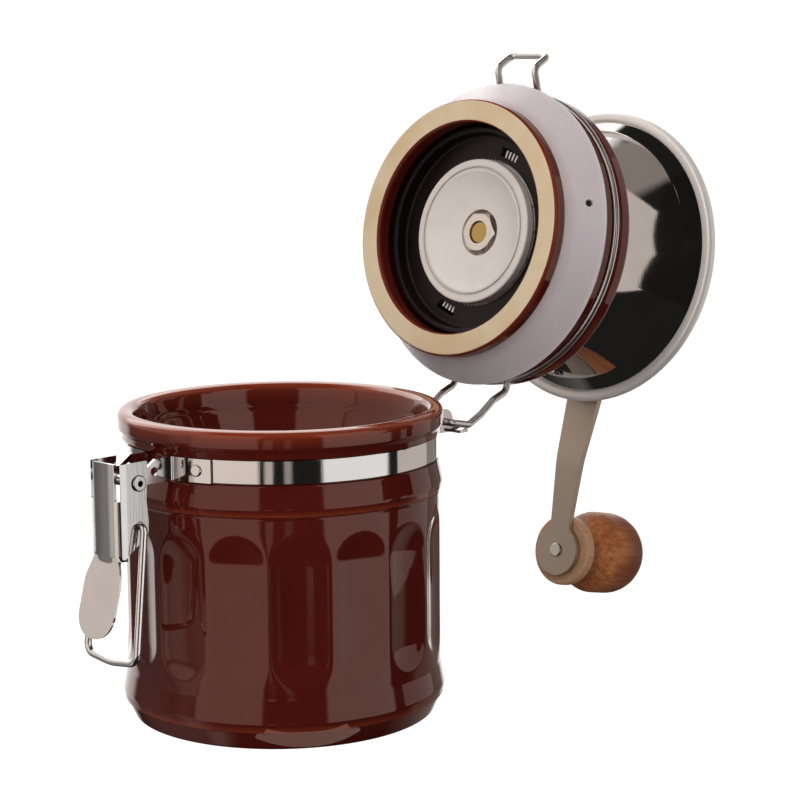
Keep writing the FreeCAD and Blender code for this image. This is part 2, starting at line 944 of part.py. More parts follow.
def ear_inside():
    return d.leg_spread + d.lever_gap


def ear_outside():
    return ear_inside() + d.lever_sheet


def make_latch_pin():
    """A hollow rivet through both ears and both legs."""
    body = new_body("latch_pin")
    half = ear_outside() + d.lever_gap / 2
    top = half + d.rivet_head
    head = d.latch_pin_radius * 1.5
    corners = [
        (d.latch_pin_bore, -top),
        rounded(head, -top, d.rivet_head * 0.8),
        (head, -half),
        (d.latch_pin_radius, -half),
        (d.latch_pin_radius, half),
        (head, half),
        rounded(head, top, d.rivet_head * 0.8),
        (d.latch_pin_bore, top),
    ]
    revolve(body, draw(body, "XZ", corners, "latch_pin_outline"), "latch_pin_turned")
    place(body, across=-latch_reach(), up=d.latch_height, axis=Vector(1, 0, 0), angle=90)
    return node(body, "latch_pin")


def make_latch_lever():
    """A folded channel with two ears and a thumb tongue; its origin is its pivot.

    Slots beside the folds let the web pass the legs when the lever swings right up.
    """
    body = new_body("latch_lever")
    sheet = d.lever_sheet
    face = -d.lever_face
    wide = ear_outside()
    narrow = ear_inside()
    inner_fold = d.fold_round - sheet
    channel = [
        (d.ear_back, -wide),
        (d.ear_back, -narrow),
        rounded(face + sheet, -narrow, inner_fold),
        rounded(face + sheet, narrow, inner_fold),
        (d.ear_back, narrow),
        (d.ear_back, wide),
        rounded(face, wide, d.fold_round),
        rounded(face, -wide, d.fold_round),
    ]
    pad(body, draw(body, "XY", channel, "channel_outline", level=-d.tongue_start), "channel",
        d.lever_top + d.tongue_start)
    beyond = d.ear_back + 1
    lobe = d.bail_wire + d.bail_play + d.lobe_wall
    ear_edge = [
        (beyond, d.lever_top),
        (d.ear_back, d.lever_top),
        rounded(d.ear_back * 0.8, -d.bail_drop * 0.45, d.ear_waist_round),
        rounded(d.ear_back, -d.bail_drop + lobe * 0.4, 2),
        rounded(lobe, -d.bail_drop - lobe, lobe * 0.85),
        (face + d.fold_round, -d.ear_bottom),
        (face + d.fold_round, -d.tongue_start),
        (beyond, -d.tongue_start),
    ]
    pocket(body, draw(body, "XZ", ear_edge, "ear_edge"), "ear_cut")
    beside_leg = d.leg_spread - d.leg_sheet - d.lever_gap
    for side in (-1, 1):
        slot = [
            (beside_leg * side, -d.slot_depth),
            (narrow * side, -d.slot_depth),
            (narrow * side, d.lever_top),
            (beside_leg * side, d.lever_top),
        ]
        pocket(body, draw(body, "YZ", slot, "slot_outline"), "slot", one_way=True)
    lean = d.tongue_angle
    tilt = sine(lean / 2) / cosine(lean / 2)
    tip_across = face - d.tongue_length * sine(lean)
    tip_up = -d.tongue_start - d.tongue_length * cosine(lean)
    strip = [
        (face, -d.tongue_start + sheet),
        rounded(face, -d.tongue_start, d.tongue_bend),
        (tip_across, tip_up),
        (tip_across + sheet * cosine(lean), tip_up - sheet * sine(lean)),
        rounded(face + sheet, -d.tongue_start - sheet * tilt, d.tongue_bend + sheet),
        (face + sheet, -d.tongue_start + sheet),
    ]
    broad = wide + d.tongue_flare
    pad(body, draw(body, "XZ", strip, "tongue_outline"), "tongue", broad * 2, symmetric=True)
    low = tip_up - sheet
    start = tip_up + d.tongue_round
    for side, arc in ((-1, left_arc), (1, right_arc)):
        edge = [
            arc(broad * side, start, d.tongue_round),
            ((broad - d.tongue_round) * side, tip_up),
            ((broad - d.tongue_round) * side, low),
            ((broad + 1) * side, low),
            ((broad + 1) * side, -d.tongue_start + sheet),
            ((wide - d.fold_round * 0.7) * side, -d.tongue_start + sheet),
            rounded(broad * side, -d.tongue_start - d.tongue_shoulder, d.shoulder_round),
        ]
        pocket(body, draw(body, "YZ", edge, "tongue_edge"), "tongue_cut", one_way=True)
    pivot = (0, 0, d.latch_pin_radius + d.running_gap)
    eye = (0, -d.bail_drop, d.bail_wire + d.bail_play)
    for hole in (pivot, eye):
        pocket(body, draw(body, "XZ", [], "ear_circle", holes=[hole]), "ear_hole")
    place(body, across=-latch_reach(), up=d.latch_height)
    return node(body, "latch_lever")


def make_latch_bail():
    """A wire loop whose hooked ends pass inward through the lever's ears; its origin is on their axis."""
    hook = float(ear_inside() - d.lever_gap)
    side = float(d.bail_spread)
    low = -float(d.bail_length)
    wide = side + float(d.bail_flare)
    near = [Vector(0, -hook, 0), Vector(0, -side, 0), Vector(0, -wide, low)]
    far = [Vector(0, -point.y, point.z) for point in reversed(near)]
    points = near + [Vector(0, 0, low - float(d.bail_bow))] + far
    bends = [d.bail_hook_bend, d.bail_corner, d.bail_bow_round, d.bail_corner, d.bail_hook_bend]
    item = shaped("latch_bail", bent_wire(points, bends, float(d.bail_wire)))
    place(item, across=-latch_reach(), up=d.latch_height - d.bail_drop, axis=Vector(0, 1, 0), angle=d.bail_tilt)
    return node(item, "latch_bail")


# Lid, drawn closed in its own frame: x towards the hinge, z from the burrs to the hopper

def swing_open(item, name):
    """Carry a sub-part from the lid's own frame to its place on the open lid."""
    pivot = d.hinge_height - d.seat_height
    level = cosine(d.open_angle)
    steep = sine(d.open_angle)
    across = hinge_reach() - hinge_reach() * level - pivot * steep
    up = d.hinge_height + hinge_reach() * steep - pivot * level
    place(item, across=across, up=up, axis=Vector(0, 1, 0), angle=d.open_angle)
    return node(item, name)


def screw_holes(body, radius, level=0, depth=None):
    """Three holes on the screw circle, through everything or down to a depth."""
    outline = draw(body, "XY", [], "screw_hole_outline", level=level, holes=[(d.screw_circle, 0, radius)])
    hole = pocket(body, outline, "screw_hole", depth)
    around(body, hole, "screw_holes", 3)


def lid_turned(name, corners, screws=False, about=None):
    """A sub-part of the lid that is one outline turned about the lid's axis or one beside it."""
    body = new_body(name)
    revolved_outline(body, name, corners, about)
    if screws:
        screw_holes(body, d.screw_radius + d.screw_gap)
    return swing_open(body, name)


def revolved_outline(body, name, corners, about=None):
    if about is None:
        revolve(body, draw(body, "XZ", corners, name + "_outline"), name + "_turned")
        return
    moved = [(about + corner[0],) + tuple(corner[1:]) for corner in corners]
    outline = draw(body, "XZ", moved, name + "_outline", axis=about)
    revolve(body, outline, name + "_turned", axis="Axis0")


def ring(inner, outer, bottom, top):
    return [(inner, bottom), (outer, bottom), (outer, top), (inner, top)]


def web_bottom():
    return d.flange_top - d.lid_web


def make_lid_body():
    """The ceramic lid: bare foot ring, collar with a seat for the seal, wire groove, flange and web."""
    groove = d.wire_radius + d.face_gap
    groove_floor = wire_ring() - groove
    corners = [
        rounded(d.collar_bore, 0, 1.0),
        rounded(collar_radius(), 0, 1.2),
        (collar_radius(), d.seal_start),
        (seal_seat(), d.seal_start),
        (seal_seat(), d.lip_bottom),
        rounded(lip_radius(), d.lip_bottom, 0.8),
        rounded(lip_radius(), d.wire_level - groove, 0.8),
        rounded(groove_floor, d.wire_level - groove, groove * 0.6),
        rounded(groove_floor, d.wire_level + groove, groove * 0.6),
        rounded(flange_radius(), d.wire_level + groove, d.flange_round * 0.6),
        rounded(flange_radius(), d.flange_top, d.flange_round),
        rounded(d.lid_throat, d.flange_top, 0.8),
        rounded(d.lid_throat, web_bottom(), 0.8),
        rounded(lid_hollow(), web_bottom(), 2.0),
        rounded(lid_hollow(), d.lip_bottom + d.collar_wall, 2.0),
        rounded(seal_seat() - d.collar_wall, d.lip_bottom - 1, 2.0),
        rounded(seal_seat() - d.collar_wall, d.seal_start + d.collar_wall, 2.0),
        (d.collar_bore, d.seal_start + 1),
    ]
    return lid_turned("lid_body", corners, screws=True)


def make_lid_seal():
    """A sleeve on the collar with a skirt that opens upward, pierced by a small vent."""
    body = new_body("lid_seal")
    inner = seal_seat() + d.metal_gap
    sleeve = inner + d.seal_skin
    flare = (seal_back() - seal_front()) / (d.seal_end - d.seal_start)
    across = d.seal_skin * root(1 + flare * flare)
    crotch = d.seal_start + (sleeve - seal_front() + across) / flare
    corners = [
        rounded(inner, d.seal_start + d.metal_gap, 0.3),
        rounded(seal_front(), d.seal_start + d.metal_gap, 0.5),
        rounded(seal_back(), d.seal_end, 0.6),
        rounded(seal_back() - across, d.seal_end, 0.6),
        rounded(sleeve, crotch, 0.8),
        rounded(sleeve, d.seal_end, 0.6),
        (inner, d.seal_end),
    ]
    revolve(body, draw(body, "XZ", corners, "seal_outline"), "seal_turned")
    circle = draw(body, "YZ", [], "vent_outline", turn=d.vent_turn, level=0,
                  holes=[(0, d.vent_level, d.vent_radius)])
    start = inner + d.seal_skin + 0.5
    circle.AttachmentOffset = circle.AttachmentOffset * Placement(Vector(0, 0, float(start)), Rotation())
    pocket(body, circle, "vent", one_way=True, reverse=True)
    return swing_open(body, "lid_seal")


def make_lid_wire():
    """One wire ring with the catch loop at -X and two stepped legs down to the hinge pins."""
    radius = float(d.wire_radius)
    ring_radius = float(wire_ring())
    level = float(d.wire_level)
    bend = float(d.wire_bend)
    shape = Part.makeTorus(ring_radius, radius, Vector(0, 0, level))
    side = float(d.catch_spread)
    tip = -float(d.catch_reach)
    rise = level + float(d.catch_lift)
    start = -math.sqrt(ring_radius ** 2 - side ** 2)
    dip = (start + tip) / 2 - bend / 2
    near = [
        Vector(start, -side, level),
        Vector(dip, -side, level - float(d.catch_dip)),
        Vector(tip, -side, rise),
    ]
    loop = near + [Vector(point.x, -point.y, point.z) for point in reversed(near)]
    shape = shape.fuse(bent_wire(loop, [bend] * 4, radius))
    track = float(d.leg_track)
    start = math.sqrt(ring_radius ** 2 - track ** 2)
    pin = float(d.hinge_height - d.seat_height)
    reach = float(hinge_reach())
    knee = ring_radius + float(d.knee_out)
    knee_level = level - float(d.knee_drop)
    shin = level - float(d.shin_drop)
    for turn in (-1, 1):
        leg = [
            Vector(start, turn * track, level),
            Vector(ring_radius + radius * 2, turn * track, level),
            Vector(knee, turn * track, knee_level),
            Vector(reach - float(d.shin_in), turn * track, (knee_level + shin) / 2),
            Vector(reach, turn * track, shin),
            Vector(reach, turn * track, pin),
            Vector(reach, turn * float(d.pin_reach), pin),
        ]
        bends = [bend] * 4 + [d.pin_bend]
        shape = shape.fuse(bent_wire(leg, bends, radius))
    return swing_open(shaped("lid_wire", shape.removeSplitter()), "lid_wire")


# Hopper and bearings

def gasket_top():
    return d.flange_top + d.gasket_sheet


def floor_top():
    return gasket_top() + d.hopper_sheet


def plate_top():
    return floor_top() + d.plate_sheet


def make_hopper_bowl():
    """Drawn sheet: flat floor, tapered wall, a step, a flare and a rim rolled outward and down."""
    body = new_body("hopper_bowl")
    sheet = d.hopper_sheet
    shoulder = d.step_level + d.step_rise
    slope = (d.bead_level - shoulder) / (d.bead_ring - d.step_radius)
    corners = [
        (d.hopper_throat, gasket_top()),
        rounded(d.hopper_base, gasket_top(), d.hopper_corner),
        rounded(d.hopper_waist, d.step_level, 1.0),
        rounded(d.step_radius, shoulder, 2.0),
        (d.bead_ring, d.bead_level),
        (d.bead_ring - sheet, d.bead_level + sheet * slope * 0.5),
        rounded(d.step_radius - sheet, shoulder + sheet * 0.3, 2.0),
        rounded(d.hopper_waist - sheet, d.step_level + sheet * 0.5, 1.0),
        rounded(d.hopper_base - sheet, floor_top(), d.hopper_corner - sheet),
        (d.hopper_throat, floor_top()),
    ]
    revolve(body, draw(body, "XZ", corners, "bowl_outline"), "bowl_turned")
    curl = [(d.bead_ring, d.bead_level, radius) for radius in (d.bead_radius, d.bead_radius - sheet)]
    revolve(body, draw(body, "XZ", [], "rim_outline", holes=curl), "rim_turned")
    slit = ring(d.bead_ring, d.bead_ring + sheet, d.bead_level - d.bead_radius - 1, d.bead_level)
    revolve(body, draw(body, "XZ", slit, "rim_slit_outline"), "rim_slit", kind="Groove")
    screw_holes(body, d.screw_radius + d.screw_gap)
    end = d.hopper_waist + 2
    circle = draw(body, "YZ", [], "wall_hole_outline", holes=[(0, tab_level(), d.bridge_rivet + d.metal_gap)])
    pocket(body, circle, "wall_holes", end * 2, symmetric=True)
    return swing_open(body, "hopper_bowl")


def tab_level():
    return d.bridge_level - d.bridge_tab * 0.78


def bridge_end():
    """Reach of the bridge's flat tabs, whose edges touch the round wall."""
    wall = d.hopper_base + (d.hopper_waist - d.hopper_base) * (
        (d.bridge_level - d.bridge_tab - gasket_top()) / (d.step_level - gasket_top())
    )
    inside = wall - d.hopper_sheet - d.metal_gap * 2
    return root(inside * inside - d.bridge_width * d.bridge_width / 4)


def make_hopper_bridge():
    """A strap across the hopper, bent down at both ends against the wall."""
    body = new_body("hopper_bridge")
    end = bridge_end()
    sheet = d.bridge_sheet
    top = d.bridge_level + sheet
    low = d.bridge_level - d.bridge_tab
    corners = [
        (-end, low),
        (-end + sheet, low),
        rounded(-end + sheet, d.bridge_level, sheet),
        rounded(end - sheet, d.bridge_level, sheet),
        (end - sheet, low),
        (end, low),
        rounded(end, top, sheet * 2),
        rounded(-end, top, sheet * 2),
    ]
    pad(body, draw(body, "XZ", corners, "bridge_outline"), "bridge", d.bridge_width, symmetric=True)
    bore = draw(body, "XY", [], "bridge_bore_outline", holes=[(0, 0, d.bush_radius + d.metal_gap)])
    pocket(body, bore, "bridge_bore")
    circle = draw(body, "YZ", [], "tab_hole_outline", holes=[(0, tab_level(), d.bridge_rivet + d.metal_gap)])
    pocket(body, circle, "tab_holes", end * 2 + 2, symmetric=True)
    return swing_open(body, "hopper_bridge")


def make_bridge_rivets():
    body = new_body("bridge_rivets")
    inside = bridge_end() - d.bridge_sheet - d.metal_gap
    outside = d.hopper_waist + d.metal_gap
    head = d.bridge_rivet * 1.8
    level = tab_level()
    corners = [
        (inside - d.rivet_head, level),
        (outside + d.rivet_head, level),
        rounded(outside + d.rivet_head, level + head, d.rivet_head * 0.8),
        (outside, level + head),
        (outside, level + d.bridge_rivet),
        (inside, level + d.bridge_rivet),
        (inside, level + head),
        rounded(inside - d.rivet_head, level + head, d.rivet_head * 0.8),
    ]
    outline = draw(body, "XZ", corners, "bridge_rivet_outline", axis=level, lying=True)
    rivet = revolve(body, outline, "bridge_rivet", axis="Axis0")
    around(body, rivet, "bridge_rivet_pair", 2)
    return swing_open(body, "bridge_rivets")


def make_bearing_plate():
    """A ring on the hopper floor whose three spokes carry the hub of the lower bearing."""
    body = new_body("bearing_plate")
    hub_top = floor_top() + d.hub_height
    pocket_top = floor_top() + d.pocket_depth
    inner = d.lower_bush_radius + d.metal_gap
    hub = [
        (inner, pocket_top),
        (d.spring_pocket, pocket_top),
        (d.spring_pocket, floor_top()),
        (d.hub_radius, floor_top()),
        rounded(d.hub_radius, hub_top, 1.0),
        (inner, hub_top),
    ]
    revolve(body, draw(body, "XZ", hub, "hub_outline"), "hub_turned")
    half = d.spoke_width / 2
    spoke = [
        ((d.hub_radius + d.spring_pocket) / 2, -half),
        (d.plate_ring + 1, -half),
        (d.plate_ring + 1, half),
        ((d.hub_radius + d.spring_pocket) / 2, half),
    ]
    arm = pad(body, draw(body, "XY", spoke, "spoke_outline", level=floor_top()), "spoke", d.plate_sheet)
    around(body, arm, "spokes", 3)
    rim = ring(d.plate_ring, d.plate_radius, floor_top(), plate_top())
    revolve(body, draw(body, "XZ", rim, "plate_ring_outline"), "plate_ring_turned")
    screw_holes(body, d.screw_radius + d.screw_gap)
    return swing_open(body, "bearing_plate")


def make_bushes():
    bore = d.shaft_radius + d.running_gap
    low = floor_top() + d.pocket_depth
    high = floor_top() + d.hub_height
    lid_turned("lower_bush", [
        (bore, low),
        (d.lower_bush_radius, low),
        (d.lower_bush_radius, high),
        (d.bush_flange, high),
        rounded(d.bush_flange, high + d.bush_lip, 0.5),
        (bore, high + d.bush_lip),
    ])
    seat = bridge_top()
    lid_turned("upper_bush", [
        (bore, seat - d.bush_length),
        (d.bush_radius, seat - d.bush_length),
        (d.bush_radius, seat),
        (d.bush_flange, seat),
        rounded(d.bush_flange, bush_top(), 0.5),
        (bore, bush_top()),
    ])


def bridge_top():
    return d.bridge_level + d.bridge_sheet


def bush_top():
    return bridge_top() + d.bush_lip


def make_housing_screws():
    """Three pan-head screws down through plate, floor, gasket, web and cover into the bosses."""
    body = new_body("housing_screws")
    head_top = plate_top() + d.screw_head_height
    corners = [
        (d.screw_circle, plate_top() - d.screw_length),
        (d.screw_circle + d.screw_radius, plate_top() - d.screw_length),
        (d.screw_circle + d.screw_radius, plate_top()),
        (d.screw_circle + d.screw_head, plate_top()),
        rounded(d.screw_circle + d.screw_head, head_top, d.screw_head_height * 0.7),
        (d.screw_circle, head_top),
    ]
    outline = draw(body, "XZ", corners, "screw_outline", axis=d.screw_circle)
    screw = revolve(body, outline, "screw", axis="Axis0")
    around(body, screw, "screws", 3)
    return swing_open(body, "housing_screws")


# Burrs

def cover_bottom():
    return web_bottom() - d.cover_sheet


def shelf_top():
    return d.housing_shelf + d.shelf_sheet


def cone_at(level):
    """Radius of the inner burr's cone at a level of the lid's frame."""
    share = (level - d.burr_disc_top) / (d.cone_top - d.burr_disc_top)
    return d.cone_radius - (d.cone_radius - d.cone_top_radius) * share


def make_burr_housing():
    """A black cup: skirt, annular shelf with two windows, and three bosses for the screws."""
    body = new_body("burr_housing")
    inner = d.housing_radius - d.housing_wall
    corners = [
        rounded(inner, d.housing_bottom, 0.8),
        rounded(d.housing_radius, d.housing_bottom, 0.8),
        (d.housing_radius, cover_bottom()),
        (inner, cover_bottom()),
        rounded(inner, shelf_top(), 1.0),
        (d.burr_radius + d.disc_gap, shelf_top()),
        (d.burr_radius + d.disc_gap, d.housing_shelf),
        rounded(inner, d.housing_shelf, 1.0),
    ]
    revolve(body, draw(body, "XZ", corners, "housing_outline"), "housing_turned")
    circle = draw(body, "XY", [], "boss_outline", level=d.housing_shelf + d.shelf_sheet / 2,
                  holes=[(d.screw_circle, 0, d.boss_radius)])
    boss = pad(body, circle, "boss", cover_bottom() - d.housing_shelf - d.shelf_sheet / 2)
    around(body, boss, "bosses", 3)
    window = ring(d.window_inner, d.window_outer, d.housing_shelf - 1, shelf_top() + 1)
    outline = draw(body, "XZ", window, "window_outline", turn=d.window_turn)
    cut = revolve(body, outline, "window", kind="Groove", angle=d.window_half * 2)
    around(body, cut, "windows", 2)
    tip = plate_top() - d.screw_length - 0.5
    screw_holes(body, d.screw_radius + d.screw_gap, level=cover_bottom(), depth=cover_bottom() - tip)
    return swing_open(body, "burr_housing")


def tooth_grooves(body, name, levels, radii, deeper):
    """Saw-shaped grooves round a cone, each a loft between two notches that are turned apart."""
    notches = []
    for level, radius, turn in zip(levels, radii, (0, d.tooth_skew)):
        level_turn = as_size(turn)
        half = radius * sine(d.tooth_half)
        clear = radius - 0.5 * deeper
        tip = radius + d.tooth_depth * (radius / d.cone_radius) * deeper
        outline = []
        for across, along in ((clear, -half), (tip, -half * 0.5), (clear, half)):
            if float(level_turn):
                turned_across = across * cosine(level_turn) - along * sine(level_turn)
                turned_along = across * sine(level_turn) + along * cosine(level_turn)
                outline.append((turned_across, turned_along))
            else:
                outline.append((across, along))
        notches.append(draw(body, "XY", outline, name + "_notch", level=level))
    groove = body.newObject("PartDesign::SubtractiveLoft", name)
    groove.Profile = notches[0]
    groove.Sections = [notches[1]]
    groove.Ruled = True
    around(body, groove, name + "s", d.tooth_count)


def make_ring_burr():
    """The fixed burr: a ring with a toothed conical bore, clamped between shelf and cover."""
    body = new_body("ring_burr")
    low = shelf_top()
    high = cover_bottom()
    wide = cone_at(low) + d.burr_gap
    narrow = cone_at(high) + d.burr_gap
    corners = [
        (wide, low),
        (d.ring_radius, low),
        (d.ring_radius, low + d.ring_flange),
        (d.ring_neck, high),
        (narrow, high),
    ]
    revolve(body, draw(body, "XZ", corners, "ring_burr_outline"), "ring_burr_turned")
    tooth_grooves(body, "ring_groove", (low, high), (wide, narrow), 1)
    return swing_open(body, "ring_burr")


def nut_seat():
    return d.burr_face + d.burr_dish + d.nut_recess


def make_inner_burr():
    """The turning burr: a dished disc below and a toothed cone above."""
    body = new_body("inner_burr")
    bore = d.shaft_radius + d.metal_gap
    line = d.rim_line
    line_in = d.burr_rim - line / 2
    line_out = d.burr_rim + line / 2
    dish = d.burr_face + d.burr_dish
    corners = [
        (bore, nut_seat()),
        (d.nut_pocket, nut_seat()),
        right_arc(d.nut_pocket, dish, d.dish_round),
        (line_in - d.burr_rim_width, d.burr_face),
        (line_in, d.burr_face),
        (line_in, d.burr_face + line),
        (line_out, d.burr_face + line),
        (line_out, d.burr_face),
        rounded(d.burr_radius, d.burr_face, 0.6),
        rounded(d.burr_radius, d.burr_disc_top, 0.6),
        (d.cone_radius, d.burr_disc_top),
        (d.cone_top_radius, d.cone_top),
        (bore, d.cone_top),
    ]
    revolve(body, draw(body, "XZ", corners, "inner_burr_outline"), "inner_burr_turned")
    tooth_grooves(body, "cone_groove", (d.burr_disc_top, d.cone_top), (d.cone_radius, d.cone_top_radius), -1)
    return swing_open(body, "inner_burr")


def hexagon(flats):
    """Corners of a hexagon whose flats face along the sketch's first axis."""
    half = flats / 2
    corner = flats / root(as_size(3))
    return [
        (half, -corner / 2),
        (half, corner / 2),
        (0, corner),
        (-half, corner / 2),
        (-half, -corner / 2),
        (0, -corner),
    ]


def make_burr_nut():
    body = new_body("burr_nut")
    bore = [(0, 0, d.shaft_radius + d.metal_gap)]
    outline = draw(body, "XY", hexagon(d.nut_flats), "nut_outline", level=nut_seat() - d.nut_height, holes=bore)
    nut = pad(body, outline, "nut", d.nut_height)
    chamfer_ends(body, "nut_corners", d.nut_flats, nut_seat() - d.nut_height, 1)
    return swing_open(body, "burr_nut")


def chamfer_ends(body, name, flats, level, upward):
    """Turn the corners off a hexagon's end."""
    corner = flats * 0.62
    flat = flats * 0.5
    rise = (corner - flat) * 0.58 * upward
    notch = [(flat, level), (corner, level), (corner, level + rise)]
    outline = draw(body, "XZ", notch, name + "_outline")
    revolve(body, outline, name, kind="Groove")


# Shaft, grind adjuster and crank

def adjust_bottom():
    return bush_top() + d.metal_gap


def lock_bottom():
    return adjust_bottom() + d.adjust_height + d.face_gap


def arm_bottom():
    return lock_bottom() + d.lock_sheet + d.washer_sheet


def arm_top():
    return arm_bottom() + d.arm_sheet


def make_drive_shaft():
    """Round up to the lock plate, square through lock plate and arm, then a stud for the cap nut."""
    body = new_body("drive_shaft")
    end = nut_seat() - d.nut_height + d.shaft_recess
    corners = [
        (0, end),
        rounded(d.shaft_radius, end, 0.6),
        (d.shaft_radius, lock_bottom()),
        (0, lock_bottom()),
    ]
    revolve(body, draw(body, "XZ", corners, "shaft_outline"), "shaft_turned")
    half = d.square_width / 2
    square = [(-half, -half), (half, -half), (half, half), (-half, half)]
    pad(body, draw(body, "XY", square, "square_outline", level=lock_bottom()), "square", arm_top() - lock_bottom())
    stud = draw(body, "XY", [], "stud_outline", level=arm_top(), holes=[(0, 0, d.stud_radius)])
    pad(body, stud, "stud", d.cap_hex + d.cap_dome / 2)
    return swing_open(body, "drive_shaft")


def make_thrust_washer():
    bore = d.shaft_radius + d.running_gap
    lid_turned("thrust_washer", ring(bore, d.washer_radius, d.cone_top, d.cone_top + d.washer_sheet))


def make_burr_spring():
    """A coil of quarter-turn bends, short enough to leave the washer its travel."""
    wire = float(d.spring_wire)
    low = float(d.cone_top + d.washer_sheet + d.grind_travel + d.face_gap) + wire
    high = float(floor_top() + d.pocket_depth - d.metal_gap) - wire
    steps = int(4 * float(d.spring_turns))
    radius = float(d.spring_radius)
    points = []
    for step in range(steps + 1):
        turn = math.radians(90 * step + 45)
        level = low + (high - low) * step / steps
        reach = radius * math.sqrt(2)
        points.append(Vector(reach * math.cos(turn), reach * math.sin(turn), level))
    points[0] = (points[0] + points[1]) / 2
    points[-1] = (points[-1] + points[-2]) / 2
    bends = [radius * 0.95] * (len(points) - 2)
    return swing_open(shaped("burr_spring", bent_wire(points, bends, wire)), "burr_spring")


def make_adjust_nut():
    """A nut on the shaft's thread, with finger notches round its edge."""
    body = new_body("adjust_nut")
    bore = d.shaft_radius + d.running_gap
    top = adjust_bottom() + d.adjust_height
    corners = [
        (bore, adjust_bottom()),
        rounded(d.adjust_radius, adjust_bottom(), 0.5),
        rounded(d.adjust_radius, top, 0.5),
        (bore, top),
    ]
    revolve(body, draw(body, "XZ", corners, "adjust_outline"), "adjust_turned")
    circle = draw(body, "XY", [], "notch_outline", holes=[(d.adjust_radius + d.notch_radius * 0.3, 0, d.notch_radius)])
    notch = pocket(body, circle, "notch")
    around(body, notch, "notches", d.adjust_notches)
    return swing_open(body, "adjust_nut")


def square_plate(name, radius, bottom, sheet):
    """A round plate with the shaft's square hole."""
    body = new_body(name)
    plate = draw(body, "XY", [], name + "_outline", level=bottom, holes=[(0, 0, radius)])
    pad(body, plate, name + "_plate", sheet)
    pocket(body, draw(body, "XY", shaft_square(), name + "_square"), name + "_square_hole")
    return swing_open(body, name)


def shaft_square():
    half = d.square_width / 2 + d.metal_gap
    return [(-half, -half), (half, -half), (half, half), (-half, half)]


def make_crank_arm():
    """The meeting of two outlines: the arm seen from above and its arch seen from the side."""
    above = new_body("arm_above")
    hub = d.arm_hub
    middle = d.arm_waist_reach
    neck = d.arm_reach - d.arm_eye
    plan = [
        (0, -hub),
        (middle, -d.arm_waist / 2),
        (neck, -d.arm_neck / 2),
        (d.arm_reach, -d.arm_neck / 2),
        (d.arm_reach, d.arm_neck / 2),
        (neck, d.arm_neck / 2),
        (middle, d.arm_waist / 2),
        (0, hub),
    ]
    height = d.arm_drop + d.arm_sheet + 2
    level = arm_top() - height + 1
    pad(above, draw(above, "XY", plan, "arm_plan", level=level), "arm_bar", height)
    for name, across, radius in (("arm_hub", 0, hub), ("arm_eye", d.arm_reach, d.arm_eye)):
        circle = draw(above, "XY", [], name + "_outline", level=level, holes=[(across, 0, radius)])
        merged = pad(above, circle, name, height)
    rounding = fillet(above, merged, "arm_necks", 4, lambda point, edge: (
        float(neck) - 2 < point.x < float(d.arm_reach) and len(edge.Vertexes) == 2
        and abs(edge.Vertexes[0].Z - edge.Vertexes[1].Z) > 1 and abs(abs(point.y) - float(d.arm_neck) / 2) < 0.5
    ))
    above.Tip = rounding
    pocket(above, draw(above, "XY", shaft_square(), "arm_square"), "arm_square_hole")
    pin = draw(above, "XY", [], "arm_pin_outline", holes=[(d.arm_reach, 0, d.knob_pin_radius + d.metal_gap)])
    pocket(above, pin, "arm_pin_hole")
    beside = new_body("arm_beside")
    bottom = arm_bottom()
    low = bottom - d.arm_drop
    sheet = d.arm_sheet
    end = d.arm_reach + d.arm_eye + 1
    slope = d.arm_drop / (d.arm_slope_end - d.arm_slope_start)
    arch = [
        (-hub - 1, bottom),
        rounded(d.arm_slope_start, bottom, d.arm_round),
        rounded(d.arm_slope_end, low, d.arm_round),
        (end, low),
        (end, low + sheet),
        rounded(d.arm_slope_end + sheet * slope / 2, low + sheet, d.arm_round),
        rounded(d.arm_slope_start + sheet * slope / 2, bottom + sheet, d.arm_round),
        (-hub - 1, bottom + sheet),
    ]
    pad(beside, draw(beside, "XZ", arch, "arm_arch"), "arm_side", d.arm_eye * 2 + 2, symmetric=True)
    arm = doc.addObject("Part::Common", "crank_arm")
    arm.Base = above
    arm.Tool = beside
    return swing_open(arm, "crank_arm")


def make_cap_nut():
    """A domed nut on the stud."""
    body = new_body("cap_nut")
    seat = arm_top()
    hex_top = seat + d.cap_hex
    outline = draw(body, "XY", hexagon(d.cap_flats), "cap_outline", level=seat)
    pad(body, outline, "cap_hexagon", d.cap_hex)
    dome = d.cap_flats * 0.45
    corners = [
        (0, hex_top - 0.5),
        (dome, hex_top - 0.5),
        rounded(dome, hex_top + d.cap_dome, d.cap_dome * 0.85),
        (0, hex_top + d.cap_dome),
    ]
    revolve(body, draw(body, "XZ", corners, "dome_outline"), "dome_turned")
    hole = draw(body, "XY", [], "cap_hole_outline", level=seat, holes=[(0, 0, d.stud_radius + d.metal_gap)])
    pocket(body, hole, "cap_hole", d.cap_hex + d.cap_dome / 2 + d.face_gap, reverse=True)
    return swing_open(body, "cap_nut")


def knob_bottom():
    return arm_top() - d.arm_drop + d.knob_gap


